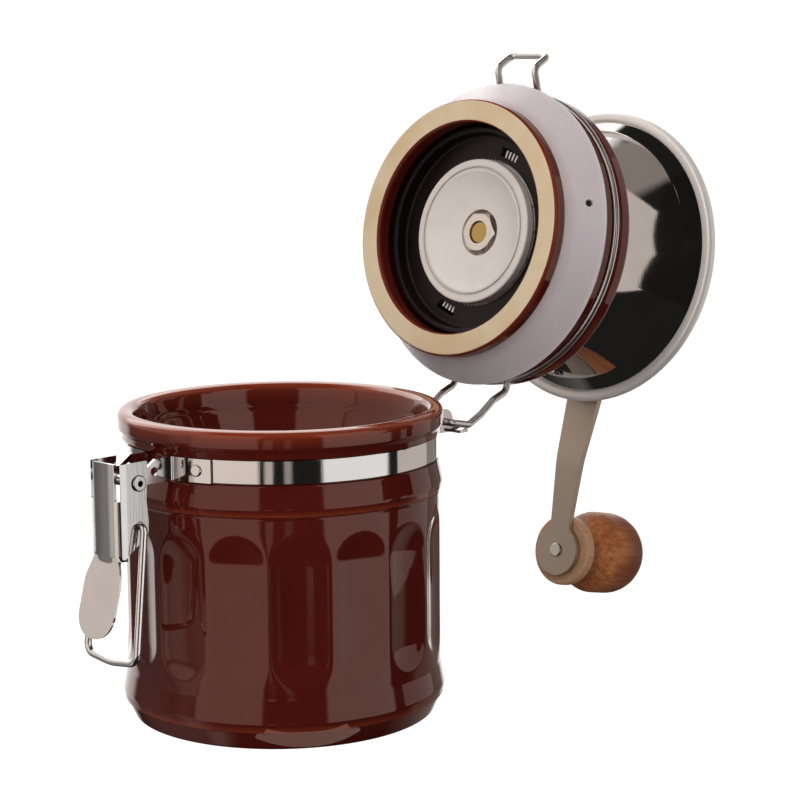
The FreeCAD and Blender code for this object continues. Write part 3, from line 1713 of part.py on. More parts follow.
def make_knob():
    """A turned grip: collar, waist and ball, bored for its pin and the pin's retaining collar."""
    bottom = knob_bottom()
    top = bottom + d.knob_length
    collar_top = bottom + d.knob_collar_height
    bore = d.knob_pin_radius + d.running_gap
    chamber = d.pin_collar + d.face_gap
    chamber_low = bottom + d.chamber_start
    chamber_high = chamber_low + d.pin_collar_height + d.face_gap * 2
    ball = d.knob_ball
    corners = [
        (bore, bottom),
        rounded(d.knob_collar, bottom, 1.2),
        rounded(d.knob_collar, collar_top, 1.2),
        rounded(d.knob_waist, collar_top + 1.5, 2.0),
        rounded(d.knob_waist, collar_top + 6.0, 4.0),
        rounded(ball, collar_top + d.knob_rise, d.knob_shoulder),
        rounded(ball, top, ball * 0.82),
        (0, top),
        (0, bottom + d.pin_depth + d.face_gap),
        (bore, bottom + d.pin_depth + d.face_gap),
        (bore, chamber_high),
        (chamber, chamber_high),
        (chamber, chamber_low),
        (bore, chamber_low),
    ]
    lid_turned("knob", corners, about=d.arm_reach)


def make_knob_pin():
    """Riveted in the arm's eye; its collar inside the knob holds the knob on."""
    under = arm_bottom() - d.arm_drop - d.metal_gap
    collar_low = knob_bottom() + d.chamber_start + d.face_gap
    radius = d.knob_pin_radius
    corners = [
        (0, under - d.rivet_head),
        rounded(d.knob_pin_head, under - d.rivet_head, d.rivet_head * 0.8),
        (d.knob_pin_head, under),
        (radius, under),
        (radius, collar_low),
        (d.pin_collar, collar_low),
        (d.pin_collar, collar_low + d.pin_collar_height),
        (radius, collar_low + d.pin_collar_height),
        (radius, knob_bottom() + d.pin_depth),
        (0, knob_bottom() + d.pin_depth),
    ]
    lid_turned("knob_pin", corners, about=d.arm_reach)


def check_and_write():
    """Stop on a failed feature or a bad shape, or else write each sub-part to its own file."""
    doc.recompute()
    failed = [item.Name for item in doc.Objects if "Invalid" in item.State or "Error" in item.State]
    if failed:
        raise ValueError("failed: " + ", ".join(failed))
    for name, item in nodes.items():
        if item.Shape.isNull() or not item.Shape.isValid() or not item.Shape.Solids:
            raise ValueError("no sound solid: " + name)
    os.makedirs("parts", exist_ok=True)
    for name, item in nodes.items():
        item.Shape.exportStep("parts/%s.step" % name)


make_jar()
make_strap_band()
make_hinge_bracket()
make_band_rivets()
make_latch_leg("latch_leg_near", -1)
make_latch_leg("latch_leg_far", 1)
make_latch_pin()
make_latch_lever()
make_latch_bail()
make_lid_body()
make_lid_seal()
make_lid_wire()
lid_turned("hopper_gasket", ring(d.lid_throat, d.plate_radius, d.flange_top, gasket_top()), screws=True)
make_hopper_bowl()
make_hopper_bridge()
make_bridge_rivets()
make_bearing_plate()
make_bushes()
make_housing_screws()
lid_turned("burr_cover", ring(d.cover_throat, d.housing_radius, cover_bottom(), web_bottom()), screws=True)
make_burr_housing()
make_ring_burr()
make_inner_burr()
make_burr_nut()
make_drive_shaft()
make_thrust_washer()
make_burr_spring()
make_adjust_nut()
square_plate("lock_plate", d.lock_radius, lock_bottom(), d.lock_sheet)
square_plate("crank_washer", d.washer_radius, lock_bottom() + d.lock_sheet, d.washer_sheet)
make_crank_arm()
make_cap_nut()
make_knob()
make_knob_pin()
check_and_write()
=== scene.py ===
"""The visible surfaces of a canister coffee mill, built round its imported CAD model."""
import math

import bmesh
import bpy
import numpy as np
from mathutils import Matrix


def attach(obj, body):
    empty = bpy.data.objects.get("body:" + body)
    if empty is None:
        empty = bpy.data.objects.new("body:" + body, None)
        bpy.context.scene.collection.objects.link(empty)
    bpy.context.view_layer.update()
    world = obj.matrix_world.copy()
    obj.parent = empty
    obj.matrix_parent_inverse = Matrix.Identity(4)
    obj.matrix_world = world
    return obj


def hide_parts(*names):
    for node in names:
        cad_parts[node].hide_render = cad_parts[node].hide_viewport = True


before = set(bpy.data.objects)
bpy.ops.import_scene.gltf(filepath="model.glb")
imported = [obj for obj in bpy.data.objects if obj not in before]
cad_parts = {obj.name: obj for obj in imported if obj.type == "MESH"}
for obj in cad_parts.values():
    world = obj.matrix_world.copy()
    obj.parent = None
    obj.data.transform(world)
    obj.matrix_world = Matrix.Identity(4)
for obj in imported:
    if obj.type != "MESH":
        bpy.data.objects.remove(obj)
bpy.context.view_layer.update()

bl_info = {
    "name": "Canister coffee mill",
    "version": (1, 0, 0),
    "blender": (4, 5, 0),
    "location": "View3D > Sidebar > Coffee mill",
    "description": "Dresses the CAD model of a canister coffee mill in glaze, steel, silicone and wood",
    "category": "Add Mesh",
}

MM = 0.001

# One step along an arc, the greatest bend that is shaded smooth, and how close in metres two points are one
ARC_STEP = math.radians(9)
CREASE = math.radians(32)
SAME_PLACE = 1e-7

# A run longer than this gets points of its own, the first and last at an inset from its ends, in millimetres
SHORT_RUN = 0.6
RUN_INSET = 0.15

# The camera stands where the photograph was taken from, in metres, and looks along a heading that
# is given by its turn from +Y towards +X, its dip below the level, and its roll, in radians. The lens and
# the sensor's width are in millimetres.
CAMERA_PLACE = (-0.5183, -0.5558, 0.22395)
CAMERA_TURN = 0.0513 + math.radians(43)
CAMERA_DIP = 0.1589
CAMERA_ROLL = -0.0082
CAMERA_LENS = 106.15
CAMERA_SENSOR = 36.0

# The open lid, in millimetres and degrees: its hinge line, the height of its foot ring when closed, how far
# it is swung, and how far the knob's axis stands from its own
HINGE_ACROSS = 67.4
HINGE_UP = 88.0
SEAT_UP = 91.0
OPEN_ANGLE = 101.9
CRANK_REACH = 110.0

# Profiles: (radius, height, rounding, step of the run that follows) in millimetres. The jar's heights
# are above the ground, the lid's are along its own axis from its foot ring towards the hopper.
JAR_PROFILE = (
    (0, 1.2), (41.4, 1.2, 0.5), (41.8, 0), (49.4, 0, 1.2), (52.0, 5.8), (52.7, 6.2, 0.3), (53.1, 9.0, 2.0),
    (51.8, 16.5, 6.0, 0.9), (51.8, 73.2), (51.4, 73.9, 0.4), (52.5, 74.6, 0.4), (52.8, 77.0, 3.0),
    (51.3, 84.3, 1.0), (50.9, 84.3), (50.9, 92.3), (51.9, 92.3), (52.2, 94.2, 1.2), (53.0, 95.4, 1.6),
    (53.0, 101.2, 2.48), (48.0, 101.2, 2.48), (48.0, 92.8, 6.0), (41.2, 80.8, 10.0), (41.2, 16.0, 6.0),
    (0, 16.0),
)
LID_PROFILE = (
    (37.1, 0, 1.0), (45.2, 0, 1.2), (45.2, 4.6), (43.2, 4.6), (43.2, 18.2), (51.7, 18.2, 0.8),
    (51.7, 22.85, 0.8), (50.15, 22.85, 0.87), (50.15, 25.75, 0.87), (52.4, 25.75, 1.32),
    (52.4, 32.3, 2.2), (24.0, 32.3, 0.8), (24.0, 27.7, 0.8), (46.0, 27.7, 2.0), (46.0, 21.4, 2.0),
    (40.0, 17.2, 2.0), (40.0, 7.8, 2.0), (37.1, 5.6),
)
SEAL_PROFILE = (
    (43.25, 4.65, 0.3), (44.9, 4.65, 0.5, 0.22), (54.0, 17.6, 0.6), (51.8, 17.6, 0.6), (45.05, 7.95, 0.8),
    (45.05, 17.6, 0.6), (43.25, 17.6),
)
HOPPER_FLOOR = ((20.5, 33.1), (40.7, 33.1, 4.0), (41.05, 38.0))
HOPPER_FLARE = ((46.25, 70.95, 0.8), (50.55, 76.15))
KNOB_PROFILE = (
    (0, 106.15), (1.96, 106.15), (1.96, 81.95), (13.0, 81.95, 1.2), (13.0, 86.15, 1.2), (8.6, 87.65, 2.0),
    (8.6, 92.15, 4.0), (15.3, 97.65, 7.0), (15.3, 120.55, 12.55), (0, 120.55),
)
BAND_PROFILE = ((50.95, 84.6, 0.1), (51.55, 84.6, 0.2), (51.55, 92.0, 0.2), (50.95, 92.0, 0.1))
BAND_GAP = math.radians(10.5)

# Columns round each turned piece; the seal also has some close together at its vent
JAR_COLUMNS = 432
BAND_COLUMNS = 360
LID_COLUMNS = 288
SEAL_COLUMNS = 330
VENT_COLUMNS = 33
HOPPER_COLUMNS = 320
KNOB_COLUMNS = 160

# The hopper's wall: the heights of its two ends, the radius and height that its formula starts from, its
# lean, and its swell, which it reaches after a rise and which grows with a power of it
WALL_ENDS = (38.2, 70.4)
WALL_ROWS = 28
WALL_START = (41.0, 37.0)
WALL_LEAN = 0.04
WALL_SWELL = 2.01
WALL_RISE = 26.0
WALL_POWER = 2.5

# The hopper's rolled rim: its middle and radius, the ends of its arc in degrees, and how square it is
RIM_BEAD = (51.9, 77.8, 2.1)
BEAD_ENDS = (-128, 206)
BEAD_ROWS = 56
BEAD_POWER = 2.8

# The jar's flutes: shallow cuts that rise along an arc at both ends. Only the outer wall between two heights
# is fluted, and its points are those beyond a radius.
FLUTE_COUNT = 16
FLUTE_TURN = math.radians(8.0)
FLUTE_BOTTOM = 20.5
FLUTE_TOP = 67.0
FLUTE_END = 9.0
FLUTE_DEPTH = 1.8
FLUTE_ROUND = 40.0
FLUTED_RADIUS = 51.8
FLUTED_HEIGHTS = (14.0, 73.0)
OUTER_WALL = 51.0

# Edges where the glaze runs thin: the height, how far it spreads, how thin it is, and the least radius and
# height at which it counts. The lid's foot is thin up to a height, and bare between two radii of its face.
JAR_EDGES = ((101.0, 2.6, 1.0, 0, 92.0), (74.6, 0.5, 0.75, OUTER_WALL, 0), (6.4, 0.5, 0.6, OUTER_WALL, 0))
LID_EDGES = ((18.6, 0.9, 0.55, 49.0, 0), (31.5, 1.2, 0.5, 50.0, 0))
LID_FOOT_TOP = 1.6
LID_FOOT_THIN = 0.5
BARE_RADII = (37.7, 44.5)
BARE_TOP = 0.3

# The jar's rim and mouth mirror as if they were formed a little otherwise. The rim's crest is flatter: the
# radius of its middle, half its width, the heights over which this sets in, and by how much. The mouth
# leans: the heights between which it does, its slope, and the radii over which this ends.
RIM_CREST = 50.5
RIM_HALF_WIDTH = 2.49
RIM_SETS_IN = (96.5, 98.5)
RIM_EASE = 115.0
MOUTH_LEANING = (92.8, 100.2)
MOUTH_LEAN = 0.3
MOUTH_ENDS = (48.3, 49.0)

# The seal: how near the skirt's outer line a point counts as outside, where the skirt's ribs set in, the
# vent's place and soft edge, and how far the columns beside it are fine, with the radii at which these and
# the vent's width are measured
ON_SKIRT = 0.02
RIBS_START = 1.0
RIBS_FADE = 1.5
VENT_TURN = math.radians(-104.5)
VENT_UP = 12.0
VENT_EDGE = 0.3
FINE_WIDTH = 2.4
FINE_REACH = 48.0
VENT_REACH = 49.0

# Zones of the finishes: heights on the lever's back, along the lid's axis on the seal and on the knob, and
# distances from that axis on the burrs
LEVER_BACK = (61.0, 64.0)
# Heights over which the seal is painted as if the glaze showed through it
SEAL_SEEN_THROUGH_FOOT = (4.5, 9.0)
SEAL_PALE_EDGE = (15.5, 17.4)
KNOB_COLLAR = (86.6, 88.4)
# Heights over which painted shade darkens the knob's far end
KNOB_PAINTED_SHADE_HEIGHTS = (100.0, 109.0)
BURR_GROOVE = 22.4
BURR_GROOVE_SIDE = (0.2, 1.3)
RING_TEETH_END = (25.2, 26.0)
RING_RIBS = 112.0

# Tints of single pieces, and those that the finishes mix into their own colours
CLAY_GRAIN = (0.5, 0.34, 0.19)
SATIN_RIM = (0.93, 0.88, 0.84)
BAIL_STEEL = (0.84, 0.82, 0.8)
WIRE_RING_STEEL = (0.92, 0.9, 0.88)
PLAIN_STEEL = (0.56, 0.54, 0.5)
NUT_STEEL = (0.84, 0.8, 0.75)
# Painted see-through colour: the glaze as seen through the seal
SEAL_PAINTED_SEEN_THROUGH = (0.36, 0.24, 0.22)
SEAL_EDGE = (0.78, 0.76, 0.76)
# Painted shade that fills the seal's vent
VENT_PAINTED_SHADE = (0.02, 0.006, 0.005)
# Painted shade in the inner burr's groove
BURR_GROOVE_PAINTED_SHADE = (0.42, 0.37, 0.34)
COLLAR_WOOD = (0.6, 0.36, 0.21)
# Painted shade that darkens the knob towards its far end
KNOB_FAR_END_PAINTED_SHADE = (0.13, 0.035, 0.018)
RUBBER = (0.02, 0.018, 0.018)
WHITE_PLASTIC = (0.7, 0.69, 0.65)
WHITE = (1.0, 1.0, 1.0)
WARM_WHITE = (1.0, 0.86, 0.78)


# Finishes: shader trees written as Python

class Value:
    """A value that varies over a surface: an output socket whose arithmetic adds Math nodes."""

    def __init__(self, finish, socket):
        self.finish = finish
        self.socket = socket

    def maths(self, operation, *others):
        return self.finish.calculate(operation, self, *others)

    def __add__(self, other):
        return self.maths("ADD", other)

    def __sub__(self, other):
        return self.maths("SUBTRACT", other)

    def __rsub__(self, other):
        return self.finish.calculate("SUBTRACT", other, self)

    def __mul__(self, other):
        return self.maths("MULTIPLY", other)

    def __pow__(self, other):
        return self.maths("POWER", other)


class Finish:
    """A material: one Principled shader and the nodes that vary it over the surface."""

    def __init__(self, name, **uniform):
        self.material = bpy.data.materials.new(name)
        self.material.use_nodes = True
        self.tree = self.material.node_tree
        self.shader = self.tree.nodes["Principled BSDF"]
        self.coordinates = None
        for socket, value in uniform.items():
            self.shader.inputs[socket.replace("_", " ")].default_value = value

    def add(self, kind, settings=None, values=None, output=0):
        """A node of a kind: its settings first, then the values or links of its sockets."""
        made = self.tree.nodes.new("ShaderNode" + kind)
        for name, value in (settings or {}).items():
            setattr(made, name, value)
        for key, value in (values or {}).items():
            self.join(made.inputs[key], value)
        return Value(self, made.outputs[output])

    def calculate(self, operation, *values):
        return self.add("Math", {"operation": operation}, dict(enumerate(values)))

    def join(self, socket, value):
        """Link a value to a socket, or set it; a colour of three channels gets its fourth."""
        if isinstance(value, Value):
            self.tree.links.new(value.socket, socket)
        elif hasattr(socket.default_value, "__len__") and len(socket.default_value) == 4 and len(value) == 3:
            socket.default_value = (*value, 1.0)
        else:
            socket.default_value = value

    def feed(self, name, value):
        self.join(self.shader.inputs[name], value)

    def place(self):
        """Object coordinates, which are the row frame's, in metres."""
        if self.coordinates is None:
            self.coordinates = self.add("TexCoord", output="Object")
        return self.coordinates

    def moved(self, location=(0, 0, 0), rotation=(0, 0, 0), scale=(1, 1, 1)):
        """Object coordinates seen from a frame at a place and a turn, with a scale on each of its axes."""
        centred = self.add("Mapping", {"vector_type": "TEXTURE"},
                           {"Vector": self.place(), "Location": location, "Rotation": rotation})
        return self.add("Mapping", None, {"Vector": centred, "Scale": scale})

    def lid_place(self, across=0.0, scale=(1, 1, 1)):
        """Coordinates of the lid's own frame, centred at a distance from its axis towards the hinge."""
        x, y, z = opened(np.array([across * MM, 0.0, 0.0]))
        return self.moved((x, y, z), (0, math.radians(OPEN_ANGLE), 0), scale)

    def parts(self, vector):
        """The vector's x, y and z."""
        separate = self.add("SeparateXYZ", None, {0: vector})
        outputs = separate.socket.node.outputs
        return [Value(self, outputs[axis]) for axis in "XYZ"]

    def distance(self, x, y):
        return (x * x + y * y) ** 0.5

    def turn(self, x, y):
        return y.maths("ARCTAN2", x)

    def noise(self, vector, scale, detail=3.0, roughness=0.55, distortion=0.0):
        return self.add("TexNoise", None, {"Vector": vector, "Scale": scale, "Detail": detail,
                                           "Roughness": roughness, "Distortion": distortion})

    def attribute(self, name):
        return self.add("Attribute", {"attribute_name": name}, output="Fac")

    def span(self, value, low, high, start=0.0, end=1.0, smooth=True):
        """The value's place between low and high, carried to start and end and held beyond them."""
        kind = "SMOOTHSTEP" if smooth else "LINEAR"
        return self.add("MapRange", {"interpolation_type": kind},
                        {"Value": value, "From Min": low, "From Max": high, "To Min": start, "To Max": end})

    def zone(self, distance, limits, start=0.0, end=1.0, smooth=True):
        """The span of a distance between two limits in millimetres."""
        return self.span(distance, limits[0] * MM, limits[1] * MM, start, end, smooth)

    def mix(self, share, first, second):
        """Colours mixed by a share from 0 to 1."""
        return self.add("Mix", {"data_type": "RGBA"}, {0: share, 6: first, 7: second}, output=2)

    def bump(self, height, distance, strength=1.0):
        self.feed("Normal", self.add("Bump", None, {"Strength": strength, "Distance": distance,
                                                    "Height": height}))

    def show(self, shader):
        """Show another shader than the material's own."""
        self.tree.links.new(shader.socket, self.tree.nodes["Material Output"].inputs["Surface"])


# Shapes: every surface is a grid of points worked out as one array

def unit(vector):
    return vector / np.linalg.norm(vector)


def rounded_corner(before, here, after, radius):
    """The arc tangent to both sides of a corner: its centre lies on the corner's bisector."""
    back = unit(before - here)
    ahead = unit(after - here)
    half = math.acos(np.clip(back @ ahead, -1, 1)) / 2
    centre = here + unit(back + ahead) * radius / math.sin(half)
    start = here + back * radius / math.tan(half) - centre
    sweep = math.pi - 2 * half
    turn = 1 if ahead[0] * back[1] - ahead[1] * back[0] > 0 else -1
    turns = np.linspace(0, sweep, max(2, math.ceil(sweep / ARC_STEP)) + 1) * turn
    return centre + np.stack([start[0] * np.cos(turns) - start[1] * np.sin(turns),
                              start[0] * np.sin(turns) + start[1] * np.cos(turns)], -1)


def outline(corners, spacing, closed=False):
    """Points along corners (across, up, rounding, step): arcs at the roundings and even steps on the runs.

    Each run also has a point a little inside each end, so that smooth shading stays flat along it. Its
    steps are as long as the spacing, or as its first corner's own step.
    """
    points = np.array([corner[:2] for corner in corners], float)
    arcs = []
    for index, corner in enumerate(corners):
        inner = closed or 0 < index < len(corners) - 1
        if len(corner) > 2 and inner:
            after = points[(index + 1) % len(corners)]
            arcs.append(rounded_corner(points[index - 1], points[index], after, corner[2]))
        else:
            arcs.append(points[index:index + 1])
    runs = []
    for index, arc in enumerate(arcs):
        runs.append(arc)
        if index == len(arcs) - 1 and not closed:
            break
        start, end = arc[-1], arcs[(index + 1) % len(arcs)][0]
        length = np.linalg.norm(end - start)
        if length > SHORT_RUN:
            inset = RUN_INSET / length
            step = corners[index][3] if len(corners[index]) > 3 else spacing
            steps = max(2, math.ceil(length / step) + 1)
            shares = np.linspace(inset, 1 - inset, steps)[:, None]
            runs.append(start + (end - start) * shares)
    return np.concatenate(runs)


def turned(profile, turns):
    """The profile's (radius, height) carried round: (radius cos turn, radius sin turn, height)."""
    radius, height = profile[:, 0, None], profile[:, 1, None]
    return np.stack(np.broadcast_arrays(radius * np.cos(turns), radius * np.sin(turns), height), -1)


def full_circle(count):
    return np.arange(count) * (2 * math.pi / count)


def wrapped(angles, period=2 * math.pi):
    """Angles carried to within half a period of 0."""
    return (angles + period / 2) % period - period / 2


def opened(points):
    """Points of the closed lid's own frame, in metres, carried to the open lid: each is lifted to the
    lid's seat and turned about the hinge line by the open angle."""
    angle = math.radians(OPEN_ANGLE)
    across = points[..., 0] - HINGE_ACROSS * MM
    up = points[..., 2] + (SEAT_UP - HINGE_UP) * MM
    return np.stack([HINGE_ACROSS * MM + across * math.cos(angle) + up * math.sin(angle),
                     points[..., 1],
                     HINGE_UP * MM - across * math.sin(angle) + up * math.cos(angle)], -1)


def grid_faces(rows, columns, closed_rows, closed_columns):
    """Quads between neighbouring points of a grid, whose rows and columns may close into rings."""
    row, column = np.meshgrid(np.arange(rows if closed_rows else rows - 1),
                              np.arange(columns if closed_columns else columns - 1), indexing="ij")
    above, beside = (row + 1) % rows, (column + 1) % columns
    return np.stack([row * columns + column, row * columns + beside,
                     above * columns + beside, above * columns + column], -1).reshape(-1, 4)


def enclosed(points, faces):
    """Six times the volume that the faces enclose, negative where they point inwards."""
    a, b, c, d = (points[faces[:, corner]] for corner in range(4))
    return np.sum(np.cross(a, b) * c) + np.sum(np.cross(a, c) * d)


def surface(name, grid, closed_rows=False, closed_columns=True, marks=None):
    """A mesh object from a grid of points (rows, columns, 3), in metres, its poles closed."""
    points = grid.reshape(-1, 3)
    faces = grid_faces(*grid.shape[:2], closed_rows, closed_columns)
    if enclosed(points, faces) < 0:
        faces = faces[:, ::-1]
    mesh = bpy.data.meshes.new(name)
    mesh.from_pydata(points.tolist(), [], faces.tolist())
    for mark, values in (marks or {}).items():
        attribute = mesh.attributes.new(mark, "FLOAT", "POINT")
        attribute.data.foreach_set("value", values.astype(np.float32).ravel())
    shell = bmesh.new()
    shell.from_mesh(mesh)
    bmesh.ops.remove_doubles(shell, verts=shell.verts, dist=SAME_PLACE)
    shell.to_mesh(mesh)
    shell.free()
    mesh.shade_smooth()
    mesh.set_sharp_from_angle(angle=CREASE)
    made = bpy.data.objects.new(name, mesh)
    bpy.context.scene.collection.objects.link(made)
    return made


def dress(piece, body, finish, slot, *replaced):
    """Give a new piece its body and finish, and hide the CAD nodes it stands for; the slot is not used."""
    piece.data.materials.append(finish.material)
    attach(piece, body)
    if replaced:
        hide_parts(*replaced)


def repaint(finish, *nodes):
    """Give CAD nodes, whose shapes stay as they are, a finish."""
    for node in nodes:
        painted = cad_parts[node]
        painted.data.materials.clear()
        painted.data.materials.append(finish.material)


def flute_cut(turns, heights):
    """Radius of the flutes' surface: a circle of FLUTE_ROUND whose centre stands outside the jar, at a
    distance from the jar's axis, and whose radius shrinks along an arc at the flute's two ends."""
    centre = FLUTED_RADIUS - FLUTE_DEPTH + FLUTE_ROUND
    end_round = (FLUTE_END ** 2 + FLUTE_DEPTH ** 2) / (2 * FLUTE_DEPTH)
    into_end = np.maximum(FLUTE_BOTTOM + FLUTE_END - heights, heights - FLUTE_TOP + FLUTE_END)
    rise = end_round - np.sqrt(end_round ** 2 - into_end.clip(0, end_round) ** 2)
    turn = wrapped(turns - FLUTE_TURN, 2 * math.pi / FLUTE_COUNT)
    beyond = (centre * np.sin(turn)) ** 2
    reach = (FLUTE_ROUND - rise) ** 2 - beyond
    return centre * np.cos(turn) - np.sqrt(reach.clip(0)), reach > 0


def hopper_wall(heights):
    """The drawn wall: its radius grows slowly from the floor and ever faster towards the flare."""
    start, level = WALL_START
    rise = heights - level
    return np.stack([start + WALL_LEAN * rise + WALL_SWELL * (rise / WALL_RISE) ** WALL_POWER, heights], -1)


def set_back(profile, depth):
    """Steps from an open profile to its copy at a depth on its inner side, square to its own run."""
    run = np.gradient(profile, axis=0)
    run /= np.linalg.norm(run, axis=1, keepdims=True)
    return np.stack([-run[:, 1], run[:, 0]], -1) * depth


def pressed_bead():
    """The rolled rim pressed square: |across|^n + |up|^n = radius^n, where n is BEAD_POWER."""
    turns = np.radians(np.linspace(*BEAD_ENDS, BEAD_ROWS))
    across, up = np.cos(turns), np.sin(turns)
    *middle, radius = RIM_BEAD
    reach = radius / (np.abs(across) ** BEAD_POWER + np.abs(up) ** BEAD_POWER) ** (1 / BEAD_POWER)
    return np.array(middle) + np.stack([across * reach, up * reach], -1).clip(-radius, radius)


def softly_lower(first, second, softness):
    """The lower of two surfaces, with a smooth passage between them as wide as the softness."""
    return (first + second - np.sqrt((first - second) ** 2 + softness ** 2)) / 2


def thin_edges(profile, edges):
    """How thin the glaze runs at each point of a profile: near each edge a bell curve over the height."""
    radius, height = profile[:, 0], profile[:, 1]
    thin = np.zeros(len(profile))
    for edge, spread, share, least_radius, least_height in edges:
        counts = (radius > least_radius) & (height > least_height)
        thin += share * np.exp(-(((height - edge) / spread) ** 2)) * counts
    return thin


def seal_turns():
    """Turns of the seal's columns: close together beside the vent and wider everywhere else."""
    fine = VENT_TURN + np.linspace(-FINE_WIDTH, FINE_WIDTH, VENT_COLUMNS) / FINE_REACH
    start = FINE_WIDTH / FINE_REACH
    wide = VENT_TURN + np.linspace(start, 2 * math.pi - start, SEAL_COLUMNS)[1:-1]
    return np.concatenate([fine, wide])


# Settings

def colour_setting(name, description, default):
    return bpy.props.FloatVectorProperty(name=name, description=description, subtype="COLOR", default=default)


def length_setting(name, description, default):
    """A length in metres, whose default is given in millimetres."""
    return bpy.props.FloatProperty(name=name, description=description, unit="LENGTH", precision=5,
                                   default=default * MM, min=0.01 * MM)


def in_mm(length):
    """A length setting in millimetres; rounding takes out what its single precision adds."""
    return round(length / MM, 6)


class MillColours(bpy.types.PropertyGroup):
    """Colours of the finishes, as linear values."""

    glaze: colour_setting("Glaze", "Thick glaze on the jar and lid", (0.072, 0.0072, 0.005))
    thin_glaze: colour_setting("Thin glaze", "Glaze on edges, where it runs thin", (0.22, 0.033, 0.013))
    biscuit: colour_setting("Biscuit", "Bare fired clay of the lid's foot ring", (0.72, 0.57, 0.385))
    silicone: colour_setting("Silicone", "The lid's seal", (0.57, 0.5, 0.515))
    steel: colour_setting("Steel", "Polished stainless steel", (0.68, 0.665, 0.65))
    crank: colour_setting("Crank steel", "Satin steel of the crank", (0.46, 0.4, 0.33))
    burr: colour_setting("Burr ceramic", "The grinding burrs", (0.78, 0.7, 0.64))
    brass: colour_setting("Shaft end", "Yellow metal of the shaft's end", (0.57, 0.41, 0.145))
    plastic: colour_setting("Plastic", "Black plastic round the burrs", (0.006, 0.0035, 0.0035))
    wood: colour_setting("Wood", "The knob's wood", (0.5, 0.175, 0.056))


class MillSizes(bpy.types.PropertyGroup):
    """Sizes of the fine forms that the CAD model leaves out or draws plain."""

    flute_softness: length_setting("Flute softness", "Width of the passage from the wall into a flute", 0.5)
    rib_height: length_setting("Rib height", "Height of the fine ribs on the seal's skirt", 0.025)
    rib_pitch: length_setting("Rib pitch", "Distance from one rib of the seal to the next", 1.25)
    vent_radius: length_setting("Vent radius", "Radius of the vent in the seal's skirt", 1.1)
    vent_depth: length_setting("Vent depth", "Depth of the vent in the seal's skirt", 1.5)
    hopper_sheet: length_setting("Hopper sheet", "Thickness of the hopper's sheet", 0.5)


# Finishes of this mill

def scaled(colour, *factors):
    """A colour times one factor, or times a factor for each channel."""
    factors = factors * 3 if len(factors) == 1 else factors
    return [channel * factor for channel, factor in zip(colour, factors)]


def glaze_finish(colours, name, bare=False, mouth=False):
    """Glossy red-brown glaze, lighter where it thins; on the lid it leaves the foot ring bare.

    The jar's mouth mirrors as if the glaze were thicker towards its lower end, by MOUTH_LEAN, and as if
    the rim's crest were flatter, by RIM_EASE times the square of the distance from its middle.
    """
    finish = Finish(name, Roughness=0.04, IOR=1.6, Specular_Tint=(1.0, 0.72, 0.62, 1.0))
    place = finish.place()
    cloud = finish.noise(place, 26.0)
    speck = finish.noise(place, 900.0, 2.0)
    thin = finish.attribute("thin")
    thin = (thin + thin * (cloud - 0.5) * 0.9).maths("MINIMUM", 1.0)
    deep = finish.mix(finish.span(cloud, 0.35, 0.68), colours.glaze, scaled(colours.glaze, 1.16))
    colour = finish.mix(thin, deep, colours.thin_glaze)
    colour = finish.mix(finish.span(speck, 0.62, 0.72, 0.0, 0.18), colour, scaled(colours.glaze, 0.35))
    height = finish.noise(place, 60.0, 2.0) * 0.6 + finish.noise(place, 420.0, 1.0) * 0.05
    if bare:
        clay = finish.attribute("bare")
        grain = finish.noise(place, 1400.0, 3.0)
        warm = finish.mix(finish.span(finish.noise(place, 34.0), 0.35, 0.65), colours.biscuit,
                          scaled(colours.biscuit, 0.9, 0.84, 0.74))
        warm = finish.mix(finish.span(grain, 0.55, 0.75, 0.0, 0.2), warm, CLAY_GRAIN)
        edge = finish.span(clay, 0.25, 0.6)
        colour = finish.mix(edge, colour, warm)
        finish.feed("Roughness", finish.span(clay, 0.3, 0.6, 0.04, 0.62))
        height = height * (1 - edge) + grain * edge * 0.35
    finish.feed("Base Color", colour)
    height = height * 0.0001
    if mouth:
        x, y, z = finish.parts(place)
        radius = finish.distance(x, y)
        crest = radius - RIM_CREST * MM
        on_rim = finish.zone(z, RIM_SETS_IN)
        height = height + (crest * crest - (RIM_HALF_WIDTH * MM) ** 2) * on_rim * RIM_EASE
        inner = finish.zone(radius, MOUTH_ENDS, 1.0, 0.0)
        depth = (MOUTH_LEANING[1] - MOUTH_LEANING[0]) * MM
        lean = finish.zone(z, MOUTH_LEANING, depth * MOUTH_LEAN, 0.0, smooth=False)
        height = height + lean * inner
    finish.bump(height, 1.0)
    return finish


def steel_finish(name, colour, roughness=0.07, brushed=0.15, bulge=0.0, satin_rim=False):
    """Polished steel with fine wiping marks, or satin steel with more of them.

    A bulge, in metres per square metre of width, rounds the lever's flat back a little, as folding does.
    """
    finish = Finish(name, Metallic=1.0)
    place = finish.place()
    marks = finish.noise(finish.moved(scale=(1.0, 1.0, 0.08)), 1500.0, 2.0)
    cloud = finish.noise(place, 55.0)
    dull = cloud * 0.05 + marks * (brushed * 0.2 - 0.01) + (roughness - 0.03)
    shade = finish.mix(finish.span(cloud, 0.3, 0.7), scaled(colour, 0.95), colour)
    if satin_rim:
        satin = finish.attribute("satin")
        dull = dull + satin * 0.34
        finish.feed("Metallic", 1 - satin * 0.5)
        shade = finish.mix(satin, shade, SATIN_RIM)
    finish.feed("Roughness", dull)
    finish.feed("Base Color", shade)
    height = marks * (0.00004 * brushed)
    if bulge:
        y, z = finish.parts(place)[1:]
        back = finish.zone(z, LEVER_BACK)
        height = height - y * y * back * bulge
    finish.bump(height, 1.0)
    return finish


